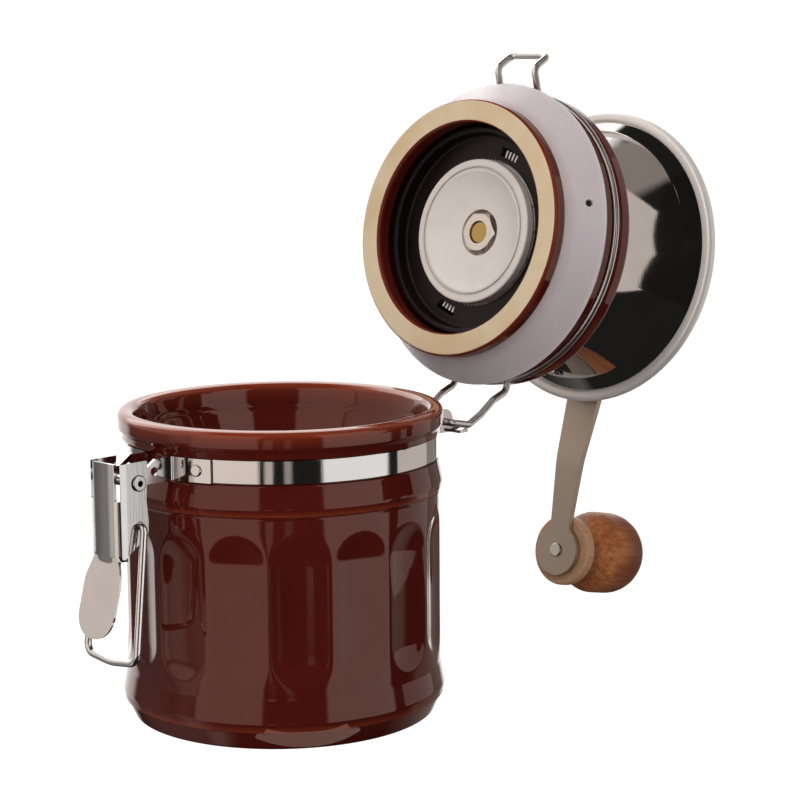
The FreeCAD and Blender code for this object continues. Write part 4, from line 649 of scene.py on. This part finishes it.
def silicone_finish(colours):
    """Milky, slightly see-through silicone: its colour is painted darker and warmer towards its foot, as if
    the glaze behind showed through, with random warm clouds, and its vent is painted near black as shade.
    """
    finish = Finish("clear_silicone", IOR=1.41, Subsurface_Weight=0.25, Subsurface_Scale=0.003)
    z = finish.parts(finish.lid_place())[2]
    cloud = finish.noise(finish.place(), 45.0)
    # Painted see-through colour towards the seal's foot, and random warm clouds
    through = finish.zone(z, SEAL_SEEN_THROUGH_FOOT, 1.0, 0.0) * 0.35 + finish.span(cloud, 0.3, 0.75) * 0.14
    colour = finish.mix(through, colours.silicone, SEAL_PAINTED_SEEN_THROUGH)
    colour = finish.mix(finish.zone(z, SEAL_PALE_EDGE, 0.0, 0.4), colour, SEAL_EDGE)
    # Painted shade: the vent is coloured near black
    colour = finish.mix(finish.attribute("vent"), colour, VENT_PAINTED_SHADE)
    finish.feed("Base Color", colour)
    finish.feed("Roughness", finish.span(cloud, 0.3, 0.7, 0.28, 0.42))
    finish.bump(finish.noise(finish.place(), 700.0), 0.0001, 0.25)
    return finish


def burr_finish(colours):
    """Unglazed off-white ceramic, smudged by handling, with painted shade as a grey line in its groove."""
    finish = Finish("burr_ceramic", Roughness=0.5, IOR=1.5)
    x, y = finish.parts(finish.lid_place())[:2]
    radius = finish.distance(x, y)
    smudge = finish.span(finish.noise(finish.place(), 90.0, 4.0), 0.4, 0.72)
    colour = finish.mix(smudge * 0.5, colours.burr, scaled(colours.burr, 0.86))
    # Painted shade: a grey line darkens the groove
    groove = finish.zone((radius - BURR_GROOVE * MM).maths("ABSOLUTE"), BURR_GROOVE_SIDE, 0.4, 0.0)
    colour = finish.mix(groove, colour, BURR_GROOVE_PAINTED_SHADE)
    finish.feed("Base Color", colour)
    finish.bump(finish.noise(finish.place(), 1100.0, 3.0), 0.0001, 0.3)
    return finish


def plastic_finish(name, colour, roughness=0.32):
    """Moulded plastic with a fine leathery grain."""
    finish = Finish(name, IOR=1.48, Specular_IOR_Level=0.25)
    grain = finish.noise(finish.place(), 1600.0, 2.0)
    cloud = finish.noise(finish.place(), 70.0)
    finish.feed("Base Color", finish.mix(finish.span(cloud, 0.35, 0.7), colour, scaled(colour, 1.5)))
    finish.feed("Roughness", cloud * 0.14 + (roughness - 0.07))
    finish.bump(grain, 0.00008, 0.3)
    return finish


def wood_finish(colours):
    """Oiled hardwood turned on a lathe: long fibres and pores along the knob's axis, broad tone bands and a
    pale collar. Painted shade darkens the knob towards its far end."""
    finish = Finish("knob_wood", IOR=1.46, Specular_IOR_Level=0.3)
    fibre_place = finish.lid_place(CRANK_REACH, (1.0, 1.0, 0.1))
    fibre = finish.noise(fibre_place, 620.0, 4.0, 0.6)
    figure = finish.noise(finish.lid_place(CRANK_REACH, (1.0, 1.0, 0.3)), 150.0, 3.0, 0.6, 0.5)
    pores = finish.span(finish.noise(finish.lid_place(CRANK_REACH, (1.0, 1.0, 0.06)), 1500.0, 1.0), 0.6, 0.72)
    tone = figure * 0.48 + fibre * 0.52
    dark = scaled(colours.wood, 0.64, 0.5, 0.44)
    light = finish.mix(finish.span(tone, 0.5, 0.68), colours.wood, scaled(colours.wood, 1.2, 1.35, 1.6))
    colour = finish.mix(finish.span(tone, 0.36, 0.6), dark, light)
    z = finish.parts(finish.lid_place(CRANK_REACH))[2]
    colour = finish.mix(finish.zone(z, KNOB_COLLAR, 0.8, 0.0), colour, COLLAR_WOOD)
    # Painted shade: the wood darkens towards the knob's far end
    colour = finish.mix(finish.zone(z, KNOB_PAINTED_SHADE_HEIGHTS, 0.0, 0.62), colour, KNOB_FAR_END_PAINTED_SHADE)
    colour = finish.mix(pores * 0.45, colour, scaled(dark, 0.5))
    finish.feed("Base Color", colour)
    finish.feed("Roughness", finish.span(tone, 0.35, 0.7, 0.46, 0.34))
    finish.bump(fibre * 0.7 - pores, 0.00012, 0.4)
    return finish


def ring_finish(colours):
    """The fixed burr: off-white teeth inside, and an outer ring behind the windows painted in stripes, black
    between its ribs as painted shade and pale on them.
    """
    finish = Finish("ring_ceramic", Roughness=0.5)
    x, y = finish.parts(finish.lid_place())[:2]
    radius = finish.distance(x, y)
    stain = finish.noise(finish.place(), 160.0)
    inside = finish.mix(finish.span(stain, 0.35, 0.7), colours.burr, scaled(colours.burr, 0.8))
    # Painted shade between the ribs of the outer ring, which the windows show
    rib = (finish.turn(x, y) * RING_RIBS).maths("SINE")
    outside = finish.mix(finish.span(rib, -0.1, 0.5), colours.plastic, scaled(colours.burr, 1.2))
    colour = finish.mix(finish.zone(radius, RING_TEETH_END), inside, outside)
    finish.feed("Base Color", colour)
    finish.bump(stain, 0.0001, 0.3)
    return finish


# Pieces

class MILL_OT_jar(bpy.types.Operator):
    """Make the glazed canister with its soft-edged flutes"""

    bl_idname = "mill.jar"
    bl_label = "Jar"

    def execute(self, context):
        profile = outline(JAR_PROFILE, spacing=40.0)
        turns = full_circle(JAR_COLUMNS)
        radius = np.broadcast_to(profile[:, 0, None], (len(profile), JAR_COLUMNS))
        height = np.broadcast_to(profile[:, 1, None], radius.shape)
        low, high = FLUTED_HEIGHTS
        outside = (radius > OUTER_WALL) & (height > low) & (height < high)
        cut, reached = flute_cut(turns, height)
        softness = in_mm(context.scene.mill_sizes.flute_softness)
        radius = np.where(outside & reached, softly_lower(radius, cut, softness), radius)
        grid = np.stack([radius * np.cos(turns), radius * np.sin(turns), height], -1) * MM
        thin = np.broadcast_to(thin_edges(profile, JAR_EDGES)[:, None], radius.shape)
        piece = surface("jar_glaze", grid, marks={"thin": thin})
        finish = glaze_finish(context.scene.mill_colours, "jar_glaze", mouth=True)
        dress(piece, "canister", finish, "brown_glaze", "jar")
        return {"FINISHED"}


class MILL_OT_band(bpy.types.Operator):
    """Make the steel band round the jar's neck"""

    bl_idname = "mill.band"
    bl_label = "Neck band"

    def execute(self, context):
        section = outline(BAND_PROFILE, spacing=0.9, closed=True)
        turns = np.linspace(-math.pi + BAND_GAP, math.pi - BAND_GAP, BAND_COLUMNS)
        grid = turned(section, turns) * MM
        # Each of the band's two ends is closed by a column whose points all lie at its middle
        ends = grid[:, [0, -1]].mean(0, keepdims=True).repeat(len(grid), 0)
        grid = np.concatenate([ends[:, :1], grid, ends[:, 1:]], 1)
        piece = surface("neck_band", grid, closed_rows=True, closed_columns=False)
        finish = steel_finish("band_steel", context.scene.mill_colours.steel, 0.06)
        dress(piece, "canister", finish, "bright_steel", "strap_band")
        return {"FINISHED"}


class MILL_OT_lid(bpy.types.Operator):
    """Make the glazed lid with its bare foot ring"""

    bl_idname = "mill.lid"
    bl_label = "Lid"

    def execute(self, context):
        profile = outline(LID_PROFILE, spacing=1.2, closed=True)
        grid = opened(turned(profile, full_circle(LID_COLUMNS)) * MM)
        radius, height = profile[:, 0], profile[:, 1]
        inner, outer = BARE_RADII
        bare = (height < BARE_TOP) & (radius > inner) & (radius < outer)
        thin = thin_edges(profile, LID_EDGES) + LID_FOOT_THIN * (height < LID_FOOT_TOP)
        marks = {"bare": np.broadcast_to(bare[:, None], grid.shape[:2]),
                 "thin": np.broadcast_to(thin[:, None], grid.shape[:2])}
        piece = surface("lid_glaze", grid, closed_rows=True, marks=marks)
        finish = glaze_finish(context.scene.mill_colours, "lid_glaze", bare=True)
        dress(piece, "lid", finish, "brown_glaze", "lid_body")
        return {"FINISHED"}


class MILL_OT_seal(bpy.types.Operator):
    """Make the ribbed silicone seal with its vent"""

    bl_idname = "mill.seal"
    bl_label = "Seal"

    def execute(self, context):
        sizes = context.scene.mill_sizes
        profile = outline(SEAL_PROFILE, spacing=2.0, closed=True)
        turns = seal_turns()
        start, end = np.array(SEAL_PROFILE[1][:2]), np.array(SEAL_PROFILE[2][:2])
        along = (profile - start) @ unit(end - start)
        side = unit(np.array([end[1] - start[1], start[0] - end[0]]))
        outside = np.abs((profile - start) @ side) < ON_SKIRT
        ribs = np.cos(2 * math.pi * along / in_mm(sizes.rib_pitch))
        ribs = ribs * np.clip((along - RIBS_START) / RIBS_FADE, 0, 1)
        profile = profile + side * (in_mm(sizes.rib_height) * ribs * outside)[:, None]
        grid = turned(profile, turns)
        across = wrapped(turns - VENT_TURN) * VENT_REACH
        up = (profile[:, 1] - VENT_UP)[:, None] / side[0]
        within = in_mm(sizes.vent_radius) - np.hypot(across, up)
        inside_vent = np.clip(within / VENT_EDGE + 0.5, 0, 1) * outside[:, None]
        depth = in_mm(sizes.vent_depth) * inside_vent
        grid[..., 0] -= depth * np.cos(turns) * side[0]
        grid[..., 1] -= depth * np.sin(turns) * side[0]
        grid[..., 2] -= depth * side[1]
        piece = surface("seal_skirt", opened(grid * MM), closed_rows=True, marks={"vent": inside_vent})
        dress(piece, "lid", silicone_finish(context.scene.mill_colours), "silicone", "lid_seal")
        return {"FINISHED"}


class MILL_OT_hopper(bpy.types.Operator):
    """Make the drawn steel hopper with its rolled rim"""

    bl_idname = "mill.hopper"
    bl_label = "Hopper"

    def execute(self, context):
        floor, flare = outline(HOPPER_FLOOR, spacing=2.5), outline(HOPPER_FLARE, spacing=2.5)
        outside = np.concatenate([floor, hopper_wall(np.linspace(*WALL_ENDS, WALL_ROWS)), flare])
        sheet = in_mm(context.scene.mill_sizes.hopper_sheet)
        inside = (outside + set_back(outside, sheet))[::-1]
        bead = pressed_bead()
        profile = np.concatenate([outside, bead, inside])
        satin = np.concatenate([np.zeros(len(outside)), np.ones(len(bead)), np.zeros(len(inside))])
        grid = opened(turned(profile, full_circle(HOPPER_COLUMNS)) * MM)
        marks = {"satin": np.broadcast_to(satin[:, None], grid.shape[:2])}
        piece = surface("hopper_shell", grid, closed_rows=True, marks=marks)
        finish = steel_finish("hopper_steel", context.scene.mill_colours.steel, 0.055, satin_rim=True)
        dress(piece, "lid", finish, "bright_steel", "hopper_bowl")
        return {"FINISHED"}


class MILL_OT_knob(bpy.types.Operator):
    """Turn the wooden knob"""

    bl_idname = "mill.knob"
    bl_label = "Knob"

    def execute(self, context):
        profile = outline(KNOB_PROFILE, spacing=1.0)
        grid = turned(profile, full_circle(KNOB_COLUMNS))
        grid[..., 0] += CRANK_REACH
        piece = surface("knob_wood", opened(grid * MM))
        dress(piece, "grip", wood_finish(context.scene.mill_colours), "wood", "knob")
        return {"FINISHED"}


class MILL_OT_metal_parts(bpy.types.Operator):
    """Finish the sheet, wire and turned metal parts"""

    bl_idname = "mill.metal_parts"
    bl_label = "Metal parts"

    def execute(self, context):
        colours = context.scene.mill_colours
        polished = steel_finish("polished_steel", colours.steel, 0.08)
        repaint(polished, "hinge_bracket", "hinge_rivets", "leg_rivets", "latch_leg_near", "latch_leg_far",
                "latch_pin")
        repaint(steel_finish("wire_steel", BAIL_STEEL, 0.19, brushed=0.06), "latch_bail")
        repaint(steel_finish("ring_steel", WIRE_RING_STEEL, 0.3, brushed=0.06), "lid_wire")
        repaint(steel_finish("lever_steel", colours.steel, 0.1, bulge=32.0), "latch_lever")
        satin = steel_finish("satin_steel", colours.crank, 0.38, brushed=0.65)
        repaint(satin, "crank_arm", "lock_plate", "crank_washer", "hopper_bridge", "bearing_plate")
        plain = steel_finish("plain_steel", PLAIN_STEEL, 0.24, brushed=0.35)
        repaint(plain, "bridge_rivets", "housing_screws", "adjust_nut", "cap_nut", "knob_pin",
                "thrust_washer", "burr_spring")
        repaint(steel_finish("nut_steel", NUT_STEEL, 0.24, brushed=0.35), "burr_nut")
        repaint(steel_finish("yellow_metal", colours.brass, 0.3, brushed=0.45), "drive_shaft")
        return {"FINISHED"}


class MILL_OT_mill_parts(bpy.types.Operator):
    """Finish the burrs, their housing and the bushes"""

    bl_idname = "mill.mill_parts"
    bl_label = "Mill parts"

    def execute(self, context):
        colours = context.scene.mill_colours
        repaint(burr_finish(colours), "inner_burr")
        repaint(ring_finish(colours), "ring_burr")
        repaint(plastic_finish("black_plastic", colours.plastic), "burr_housing", "burr_cover")
        repaint(plastic_finish("black_rubber", RUBBER, 0.6), "hopper_gasket")
        repaint(plastic_finish("white_plastic", WHITE_PLASTIC, 0.4), "lower_bush", "upper_bush")
        return {"FINISHED"}


# The stage: the floor's rings in metres, its grey, and the glow that keeps it white where it is seen
FLOOR_RADII = (0.0, 0.4, 6.0)
FLOOR_COLUMNS = 96
FLOOR_GREY = (0.62, 0.62, 0.62)
FLOOR_GLOW = 1.4
FLOOR_GLOW_SHARE = 0.72

# The light that comes from everywhere, and the studio's shell, in metres, with its own faint light
WORLD_LIGHT = 0.3
STUDIO_RADIUS = 3.0
STUDIO_SHADE = 0.015
STUDIO_WARMTH = 0.2

# Lit panels of the studio: the turn from the camera towards its right and the height above the
# level, in degrees, from low to high, then how softly each pair of edges ends, the light and its warmth
PANELS = (
    (-65, -16, -17, 60, 2.5, 2.5, 0.94, 0.9),
    (29, 82, -17, 60, 2.5, 2.5, 1.04, 0.15),
    (-155, -66, 1, 62, 5.0, 6.0, 0.78, 0.85),
    (-128, -60, -60, -1, 60.0, 6.0, 0.24, 0.4),
    (-84, -60, -60, -1, 16.0, 6.0, 0.55, 0.4),
    (-12, -6, -14, -3, 2.0, 3.0, 0.6, 0.9),
    (2, 7, -14, -3, 2.0, 3.0, 0.4, 0.9),
    (106, 160, -42, 62, 8.0, 20.0, 0.29, 1.0),
    (152, 228, -20, 30, 8.0, 12.0, 1.5, 0.2),
    (164, 232, 20, 52, 6.0, 6.0, 3.0, 0.3),
)

# Cards close to the object that only mirrors see: the middle, two half sides in millimetres and the light.
# The last lies before the jar's foot, the others stand by the hopper.
CARDS = {
    "side_card": ((300.0, -185.0, 120.0), (0.0, 125.0, 0.0), (0.0, 0.0, 150.0), 0.66),
    "front_card": ((213.5, -165.0, 265.0), (65.0, 0.0, 0.0), (93.0, 0.0, 188.0), 0.012),
    "high_card": ((125.0, -164.0, 360.0), (35.0, 0.0, 0.0), (0.0, 0.0, 160.0), 0.012),
    "low_card": ((191.0, -164.0, 98.0), (26.0, 0.0, 0.0), (0.0, 0.0, 42.0), 0.012),
    "foot_card": ((-31.3, -46.4, 0.1), (15.7, -10.6, 0.0), (-3.4, -5.0, 0.0), 1.3),
}
CARD_WARMTH = 0.8

# Lamps: the place, the width of the square and the power. All are aimed at one point.
LAMPS = {
    "key_lamp": ((-0.9, -0.35, 0.75), 0.7, 7.0),
    "fill_lamp": ((-0.35, -1.05, 0.5), 0.7, 0.4),
    "top_lamp": ((0.0, 0.1, 1.3), 0.9, 5.4),
}
LAMP_TARGET = (0.03, 0.0, 0.1)


class MILL_OT_stage(bpy.types.Operator):
    """Set the floor, the studio that the glaze and steel mirror, the lamps and the camera"""

    bl_idname = "mill.stage"
    bl_label = "Stage"

    def execute(self, context):
        make_floor()
        make_studio()
        make_world()
        make_lamps()
        make_camera()
        context.scene.view_settings.view_transform = "Standard"
        return {"FINISHED"}


def background_rays(tree):
    """1 for the rays that show the background: those of the camera, of mirrors and through glass."""
    path = tree.nodes.new("ShaderNodeLightPath")
    seen = path.outputs["Is Camera Ray"]
    for kind in ("Is Glossy Ray", "Is Transmission Ray"):
        either = tree.nodes.new("ShaderNodeMath")
        either.operation = "MAXIMUM"
        tree.links.new(seen, either.inputs[0])
        tree.links.new(path.outputs[kind], either.inputs[1])
        seen = either.outputs[0]
    return seen


def make_floor():
    """A pale floor that stays white in the picture but keeps the shadow."""
    grid = turned(np.array([(radius, 0.0) for radius in FLOOR_RADII]), full_circle(FLOOR_COLUMNS))
    mesh = bpy.data.meshes.new("floor")
    mesh.from_pydata(grid.reshape(-1, 3).tolist(), [], grid_faces(*grid.shape[:2], False, True).tolist())
    floor = bpy.data.objects.new("floor", mesh)
    bpy.context.scene.collection.objects.link(floor)
    finish = Finish("floor_paint", Roughness=0.9, Specular_IOR_Level=0.0)
    finish.feed("Base Color", FLOOR_GREY)
    paint = Value(finish, finish.shader.outputs[0])
    seen = Value(finish, background_rays(finish.tree))
    glow = finish.add("Emission", None, {"Color": WHITE, "Strength": FLOOR_GLOW})
    finish.show(finish.add("MixShader", None, {0: seen * FLOOR_GLOW_SHARE, 1: paint, 2: glow}))
    floor.data.materials.append(finish.material)
    floor.visible_glossy = False


def make_studio():
    """A shell that only mirror-like surfaces see: dark, with lit panels before, beside and behind the
    object, and cards close to it. It has a point for each degree of turn and of height, and a panel's
    light is a product of steps in both."""
    heights = np.radians(np.arange(-90, 91))
    turns = full_circle(360)
    grid = turned(np.stack([np.cos(heights), np.sin(heights)], -1), turns) * STUDIO_RADIUS
    facing = math.atan2(CAMERA_PLACE[1], CAMERA_PLACE[0])
    azimuth = np.degrees(wrapped(turns - facing))
    level = np.degrees(heights)[:, None]
    light = np.full(grid.shape[:2], STUDIO_SHADE)
    warmth = np.full(grid.shape[:2], STUDIO_WARMTH)
    for low_turn, high_turn, low, high, soft_turn, soft_up, strength, warm in PANELS:
        middle, half = (low_turn + high_turn) / 2, (high_turn - low_turn) / 2
        beside = np.clip((half - np.abs(wrapped(azimuth - middle, 360))) / soft_turn + 0.5, 0, 1)
        above = np.clip((level - low) / soft_up + 0.5, 0, 1)
        below = np.clip((high - level) / soft_up + 0.5, 0, 1)
        panel = strength * beside * above * below
        warmth = np.where(panel > light, warm, warmth)
        light = np.maximum(light, panel)
    studio = surface("studio_shell", grid, marks={"light": light, "warmth": warmth})
    show_in_mirrors(studio)
    shares = np.array([-1.0, 1.0])
    for name, (middle, across, up, strength) in CARDS.items():
        rows = np.array(middle) + shares[:, None, None] * np.array(up)
        corners = rows + shares[None, :, None] * np.array(across)
        marks = {"light": np.full((2, 2), strength), "warmth": np.full((2, 2), CARD_WARMTH)}
        show_in_mirrors(surface(name, corners * MM, closed_columns=False, marks=marks))


def show_in_mirrors(piece):
    """Light a piece of the studio by its marks and hide it from everything but reflections."""
    finish = Finish(piece.name)
    colour = finish.mix(finish.attribute("warmth"), WHITE, WARM_WHITE)
    finish.show(finish.add("Emission", None, {"Color": colour, "Strength": finish.attribute("light")}))
    piece.data.materials.append(finish.material)
    for kind in ("camera", "diffuse", "shadow", "transmission", "volume_scatter"):
        setattr(piece, "visible_" + kind, False)


def make_world():
    """White where the camera looks past the floor, and a plain even light on everything else."""
    world = bpy.data.worlds.new("studio_world")
    world.use_nodes = True
    tree = world.node_tree
    background = tree.nodes["Background"]
    background.inputs["Color"].default_value = (*WHITE, 1.0)
    level = tree.nodes.new("ShaderNodeMapRange")
    level.inputs["To Min"].default_value = WORLD_LIGHT
    level.inputs["To Max"].default_value = 1.0
    tree.links.new(background_rays(tree), level.inputs["Value"])
    tree.links.new(level.outputs["Result"], background.inputs["Strength"])
    bpy.context.scene.world = world


def make_lamps():
    """Two large soft lamps beside the camera and one above, none of them seen in reflections."""
    for name, (place, size, power) in LAMPS.items():
        light = bpy.data.lights.new(name, "AREA")
        light.size = size
        light.energy = power
        lamp = bpy.data.objects.new(name, light)
        lamp.matrix_world = aimed(place, LAMP_TARGET)
        lamp.visible_glossy = False
        bpy.context.scene.collection.objects.link(lamp)


def aimed(place, target):
    """The place of something that looks along its own -Z at a target."""
    back = unit(np.array(place) - np.array(target))
    right = unit(np.cross((0.0, 0.0, 1.0), back))
    return framed(place, right, np.cross(back, right), back)


def framed(place, right, up, back):
    """The matrix of something at a place, from its three axes."""
    matrix = np.eye(4)
    matrix[:3, 0], matrix[:3, 1], matrix[:3, 2], matrix[:3, 3] = right, up, back, place
    return Matrix(matrix.tolist())


def make_camera():
    """A camera whose axes are worked out from its turn, dip and roll."""
    level = math.cos(CAMERA_DIP)
    ahead = np.array([math.sin(CAMERA_TURN) * level, math.cos(CAMERA_TURN) * level, -math.sin(CAMERA_DIP)])
    right = np.array([math.cos(CAMERA_TURN), -math.sin(CAMERA_TURN), 0.0])
    up = np.cross(right, ahead)
    across = math.cos(CAMERA_ROLL) * right + math.sin(CAMERA_ROLL) * up
    upward = -math.sin(CAMERA_ROLL) * right + math.cos(CAMERA_ROLL) * up
    lens = bpy.data.cameras.new("camera")
    lens.lens = CAMERA_LENS
    lens.sensor_width = CAMERA_SENSOR
    camera = bpy.data.objects.new("camera", lens)
    camera.matrix_world = framed(CAMERA_PLACE, across, upward, -ahead)
    bpy.context.scene.collection.objects.link(camera)
    bpy.context.scene.camera = camera


class MILL_PT_panel(bpy.types.Panel):
    """Lists the mill's colours and sizes and the pieces that can be made"""

    bl_idname = "MILL_PT_panel"
    bl_label = "Coffee mill"
    bl_space_type = "VIEW_3D"
    bl_region_type = "UI"
    bl_category = "Coffee mill"

    def draw(self, context):
        scene = context.scene
        for group, settings in ((MillColours, scene.mill_colours), (MillSizes, scene.mill_sizes)):
            for name in group.__annotations__:
                self.layout.prop(settings, name)
        for maker in MAKERS:
            self.layout.operator(maker.bl_idname)


MAKERS = (MILL_OT_jar, MILL_OT_band, MILL_OT_lid, MILL_OT_seal, MILL_OT_hopper, MILL_OT_knob,
          MILL_OT_metal_parts, MILL_OT_mill_parts, MILL_OT_stage)


def register():
    for cls in (MillColours, MillSizes, *MAKERS, MILL_PT_panel):
        bpy.utils.register_class(cls)
    bpy.types.Scene.mill_colours = bpy.props.PointerProperty(type=MillColours)
    bpy.types.Scene.mill_sizes = bpy.props.PointerProperty(type=MillSizes)


def unregister():
    del bpy.types.Scene.mill_sizes
    del bpy.types.Scene.mill_colours
    for cls in (MILL_PT_panel, *reversed(MAKERS), MillSizes, MillColours):
        bpy.utils.unregister_class(cls)


def main():
    """Make every piece."""
    register()
    for maker in MAKERS:
        group, name = maker.bl_idname.split(".")
        getattr(getattr(bpy.ops, group), name)()


if __name__ == "__main__":
    main()
